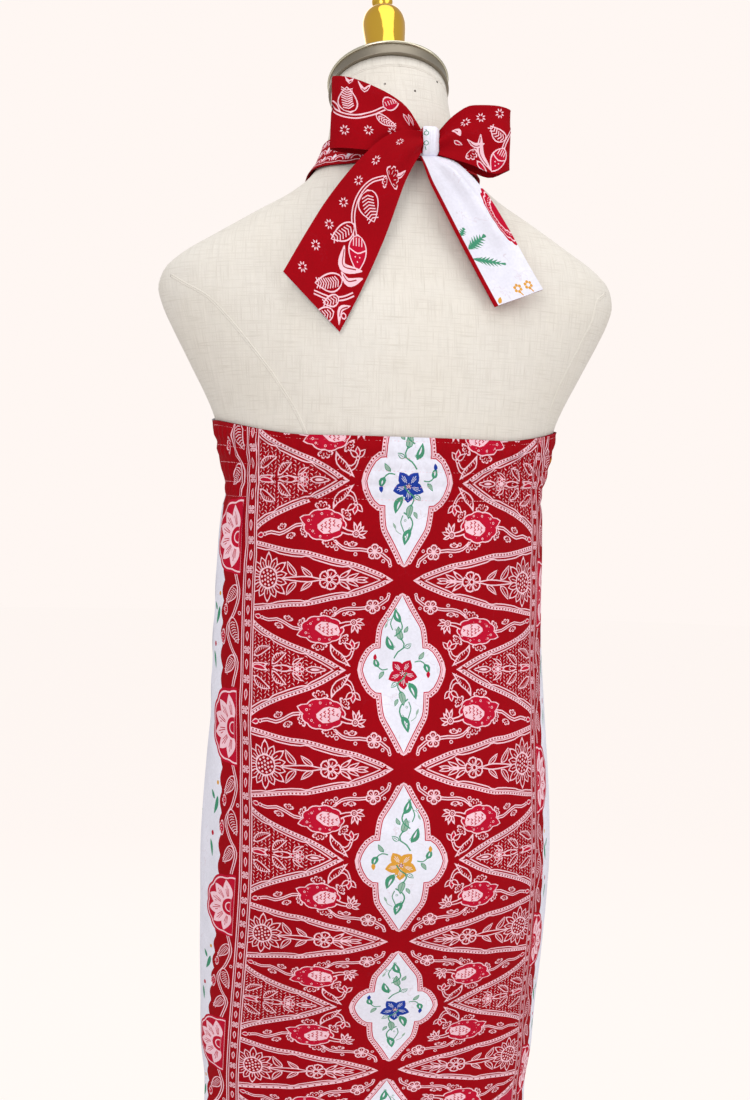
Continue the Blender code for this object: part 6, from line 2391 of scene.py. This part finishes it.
def makeKnot(knotY):
    # a soft band with shallow pleats round the middle of the bow
    knotX, knotZ = bowShape["knot"]
    wide, deep, high = bowShape["knotSize"]
    power = bowShape["knotSquareness"]
    left = -wide * 500
    d = Drawing()
    redEdge = ((2.4, -14), (2.2, -5), (2.7, 4), (2.3, 14))
    d.fill([(left - 1, -14)] + [(left + x, v) for x, v in redEdge] + [(left - 1, 14)], "red")
    for v in (-5.6, 2.6):
        d.ring((-3.9, v), 2.1, 0.6, "white", 8, "green")
    d.stroke([(-4.4, -8.8), (-3.6, -7.2)], 0.6, "green", smooth=False)
    d.stroke([(-4.6, 5.4), (-3.8, 8.2)], 0.6, "green", smooth=False)
    angles = np.linspace(0, 2 * math.pi, 56, endpoint=False)
    x = np.sign(np.cos(angles)) * np.abs(np.cos(angles)) ** power * wide * 500
    v = np.sign(np.sin(angles)) * np.abs(np.sin(angles)) ** power * high * 500
    line = np.stack([x, v], 1)

    def depthAt(flat):
        a = np.clip(np.abs(flat[:, 0]) / (wide * 500), 0, 1)
        b = np.clip(np.abs(flat[:, 1]) / (high * 500), 0, 1)
        reach = np.clip(1 - a ** (1 / power), 0, 1) ** 0.42
        ends = np.clip(1 - b**3.4, 0, 1) ** 0.5
        pleat = 1 + 0.035 * np.cos(flat[:, 0] * 1.55 + 0.08 * flat[:, 1]) * (1 - a**2)
        return 0.02 + reach * ends * pleat * 0.945

    def placeKnot(flat, side=-1):
        def spot(f):
            y = knotY + side * depthAt(f) * deep / 2
            return np.stack([knotX + f[:, 0] / 1000, y, knotZ - f[:, 1] / 1000], 1)

        h = 0.12
        inner = flat * 0.985
        dx = spot(inner + (h, 0)) - spot(inner - (h, 0))
        dv = spot(inner + (0, h)) - spot(inner - (0, h))
        normal = np.cross(dv, dx) * -side
        normal = normal / np.maximum(np.linalg.norm(normal, axis=1, keepdims=True), 1e-12)
        return spot(flat), normal

    flat, triangles, dyeOf = cutFlat(line, d.shapes, flatGrid(line, 1.1, 0.5), "white")
    inside = flatGrid(line, 1.6, 0.8)
    piece = clothPiece(
        "bowKnot", flat, triangles, dyeOf, placeKnot, inside, "white", 0.0, 0.6, lambda f: placeKnot(f, 1)
    )[0]
    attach(piece, "root")
    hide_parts("bow_knot")


def strapLift(s, w):
    # fine folds along a strap, deeper towards the nape
    return 0.35 * (1 + np.sin(w / 3.4 + s / 40)) * easeIn((s - 60) / 120) + 0.05


def pleats(count, depth, reach, phase):
    # folds that run out from the knot and fade
    def liftOf(s, w):
        near = np.exp(-((s / reach) ** 1.5))
        fold = np.sin(w / 30.0 * math.pi * count + phase)
        soft = 0.25 * np.sin(s / 17 + w / 14 + phase) + 0.15 * np.sin(s / 9 - w / 21)
        return depth * near * (fold + 0.6) + soft * easeIn(s / 30) + 0.35

    return liftOf


def foldedTail(s, w):
    # a long fold runs down from the knot, with a hollow beside it
    ridge = (w - 1.0 - s * 0.11) / 6.2
    hollow = (w + 8.5 - s * 0.05) / 6.0
    fade = easeIn((s - 5) / 26) * (1 - 0.8 * easeIn((s - 60) / 80))
    soft = 0.5 * np.sin(s / 16 + w / 9) * easeIn(s / 40)
    return 1.6 + fade * (4.6 * np.exp(-(ridge**2)) - 1.5 * np.exp(-(hollow**2))) + soft


def makeBow(tree):
    low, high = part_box("bow_knot")
    knotY = (low.y + high.y) / 2
    wide = bowShape["wide"]
    for name, node, hand in (("strapLeft", "strap_left", -1), ("strapRight", "strap_right", 1)):
        strap = Ribbon(strapGrid(tree, hand), wide["strap"], strapLift, hand > 0)
        ribbonPiece(
            name, strap, drawStrapPrint(strap), "red", "red", node, 5.0
        )
    loop = Ribbon(loopGrid(bowShape["leftLoop"], -1, knotY), wide["leftLoop"], pleats(2.0, 1.7, 42, 0.6), True)
    drawing = drawLeftLoop(loop.length)
    ribbonPiece("loopLeft", loop, drawing, "red", "red", "loop_left")
    loop = Ribbon(loopGrid(bowShape["rightLoop"], 1, knotY), wide["rightLoop"], pleats(2.0, 1.6, 36, 2.2), False)
    drawing = drawRightLoop(loop.length)
    ribbonPiece("loopRight", loop, drawing, "red", "red", "loop_right")
    tail = Ribbon(tailGrid(tree, bowShape["leftTail"], knotY), wide["leftTail"], pleats(1.6, 1.3, 46, 1.0), True)
    ribbonPiece("tailLeft", tail, drawLeftTail(), "red", "white", "tail_left")
    tail = Ribbon(tailGrid(tree, bowShape["rightTail"], knotY), wide["rightTail"], foldedTail, True)
    ribbonPiece("tailRight", tail, drawWhiteTail(tail), "white", "red", "tail_right")
    makeKnot(knotY)
    print("straps and bow made")


# stitches: short threads that lie on the cloth

stitches = {
    "pink": fromScreen(240, 178, 190),
    "white": fromScreen(236, 232, 238),
    "roughness": 0.7,
    # sizes on the cloth, mm
    "long": 2.2,
    "wide": 0.75,
    "rise": 0.34,
    "pitch": 3.0,
    "hemPitch": 3.2,
    "inset": 5.0,  # from the front's neck and arm edges
    # metres
    "hemLift": 0.022,
    "sunkEnds": 0.00025,
    "sunkSides": 0.0002,
}


def threadMaterial(name, colour):
    material = plainMaterial(name, colour, stitches["roughness"])
    tree = material.node_tree
    place = tree.nodes.new("ShaderNodeTexCoord").outputs["Object"]
    twist = addNoise(tree, place, Scale=1800.0, Detail=1.0)
    dark = tuple(c * 0.85 for c in colour)
    light = tuple(min(c * 1.08, 1) for c in colour)
    tree.links.new(mixColour(tree, twist, dark, light), tree.nodes["Principled BSDF"].inputs["Base Color"])
    return material


def stitchLine(name, line, place, material, pitch=stitches["pitch"]):
    # line is flat, in millimetres; each stitch is a low six-sided thread, sunk at both ends
    long = stitches["long"]
    way = np.concatenate([[0], np.cumsum(np.hypot(*np.diff(line, axis=0).T))])
    count = int(way[-1] / pitch)
    starts = (np.arange(count) + 0.5) * way[-1] / count - long / 2
    at = (starts[:, None] + long * np.array([0.0, 0.5, 1.0])).ravel()
    points, normals = place(np.stack([np.interp(at, way, line[:, 0]), np.interp(at, way, line[:, 1])], 1))
    points = points.reshape(-1, 3, 3)
    normals = normals.reshape(-1, 3, 3)
    corners = []
    faces = []
    for spot, up in zip(points, normals):
        along = spot[2] - spot[0]
        along = along / max(np.linalg.norm(along), 1e-9)
        across = np.cross(up[1], along) * stitches["wide"] / 2000
        lift = up[1] * stitches["rise"] / 1000
        drop = up[1] * stitches["sunkSides"]
        a = len(corners)
        corners.append(spot[0] - up[0] * stitches["sunkEnds"])
        for share in (0.22, 0.78):
            middle = spot[0] + (spot[2] - spot[0]) * share
            corners.extend([middle + across - drop, middle + lift, middle - across - drop])
        corners.append(spot[2] - up[2] * stitches["sunkEnds"])
        faces += [(a, a + 2, a + 1), (a, a + 3, a + 2), (a, a + 1, a + 3)]
        faces += [(a + 1, a + 2, a + 5, a + 4), (a + 2, a + 3, a + 6, a + 5), (a + 3, a + 1, a + 4, a + 6)]
        faces += [(a + 7, a + 4, a + 5), (a + 7, a + 5, a + 6), (a + 7, a + 6, a + 4)]
    mesh = bpy.data.meshes.new(name)
    mesh.from_pydata([tuple(c) for c in corners], [], faces)
    mesh.materials.append(material)
    piece = bpy.data.objects.new(name, mesh)
    bpy.context.scene.collection.objects.link(piece)
    recalculate(piece)
    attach(piece, "root")


def makeStitches():
    pink = threadMaterial("pinkThread", stitches["pink"])
    white = threadMaterial("whiteThread", stitches["white"])
    hemPitch = stitches["hemPitch"]
    rows = dressCut["casingRows"]
    angles = np.linspace(-sideAngle * 0.985, sideAngle * 0.985, 160)
    for number, z in enumerate(rows):
        follow = easeIn((z - rows[-1]) / (dressCut["backTop"] - rows[-1]))
        level = z + (backTop(angles) - dressCut["backTop"]) * follow
        line = np.stack([wayAt(backWays, angles, level) * 1000, printOfHeight(level)], 1)
        stitchLine("casingStitch%d" % (number + 1), line, placeBack, pink)
    hem = dressCut["hem"] + stitches["hemLift"]
    edge = float(wayAt(backWays, sideAngle, np.array([hem]))[0]) * 1000 - 2
    line = np.stack([np.linspace(-edge, edge, 120), np.full(120, float(printOfHeight(hem)))], 1)
    stitchLine("hemStitchBack", line, placeBack, pink, hemPitch)
    left, right = sorted(frontWay(math.pi / 2 + halfGap, hem, hand) for hand in (1, -1))
    line = np.stack([np.linspace(left + 2, right - 2, 120), np.full(120, -hem * 1000)], 1)
    stitchLine("hemStitchFront", line, placeFront, white, hemPitch)
    # a line of stitches inside the front's neck and arm edges
    for number, hand in enumerate((1, -1)):
        for label, column in (("Arm", 1), ("Neck", 0)):
            heights = np.linspace(1.232, frontCloth["strapFoot"] - 0.004, 40)
            line = np.array([frontEdge(z, column, hand) for z in heights])
            inwards = -1 if (line[0, 0] > 0) == (label == "Arm") else 1
            line[:, 0] += inwards * stitches["inset"]
            name = "front%sStitch%d" % (label, number + 1)
            stitchLine(name, line, placeFront, white, hemPitch)
    print("stitches made")


linen = linenMaterial()
formTree = makeLinenForm(linen)
makeFormSeams(linen, formTree)
makeCap()
makeGold()
makeBack()
makeFront()
makeStitches()
makeBow(formTree)
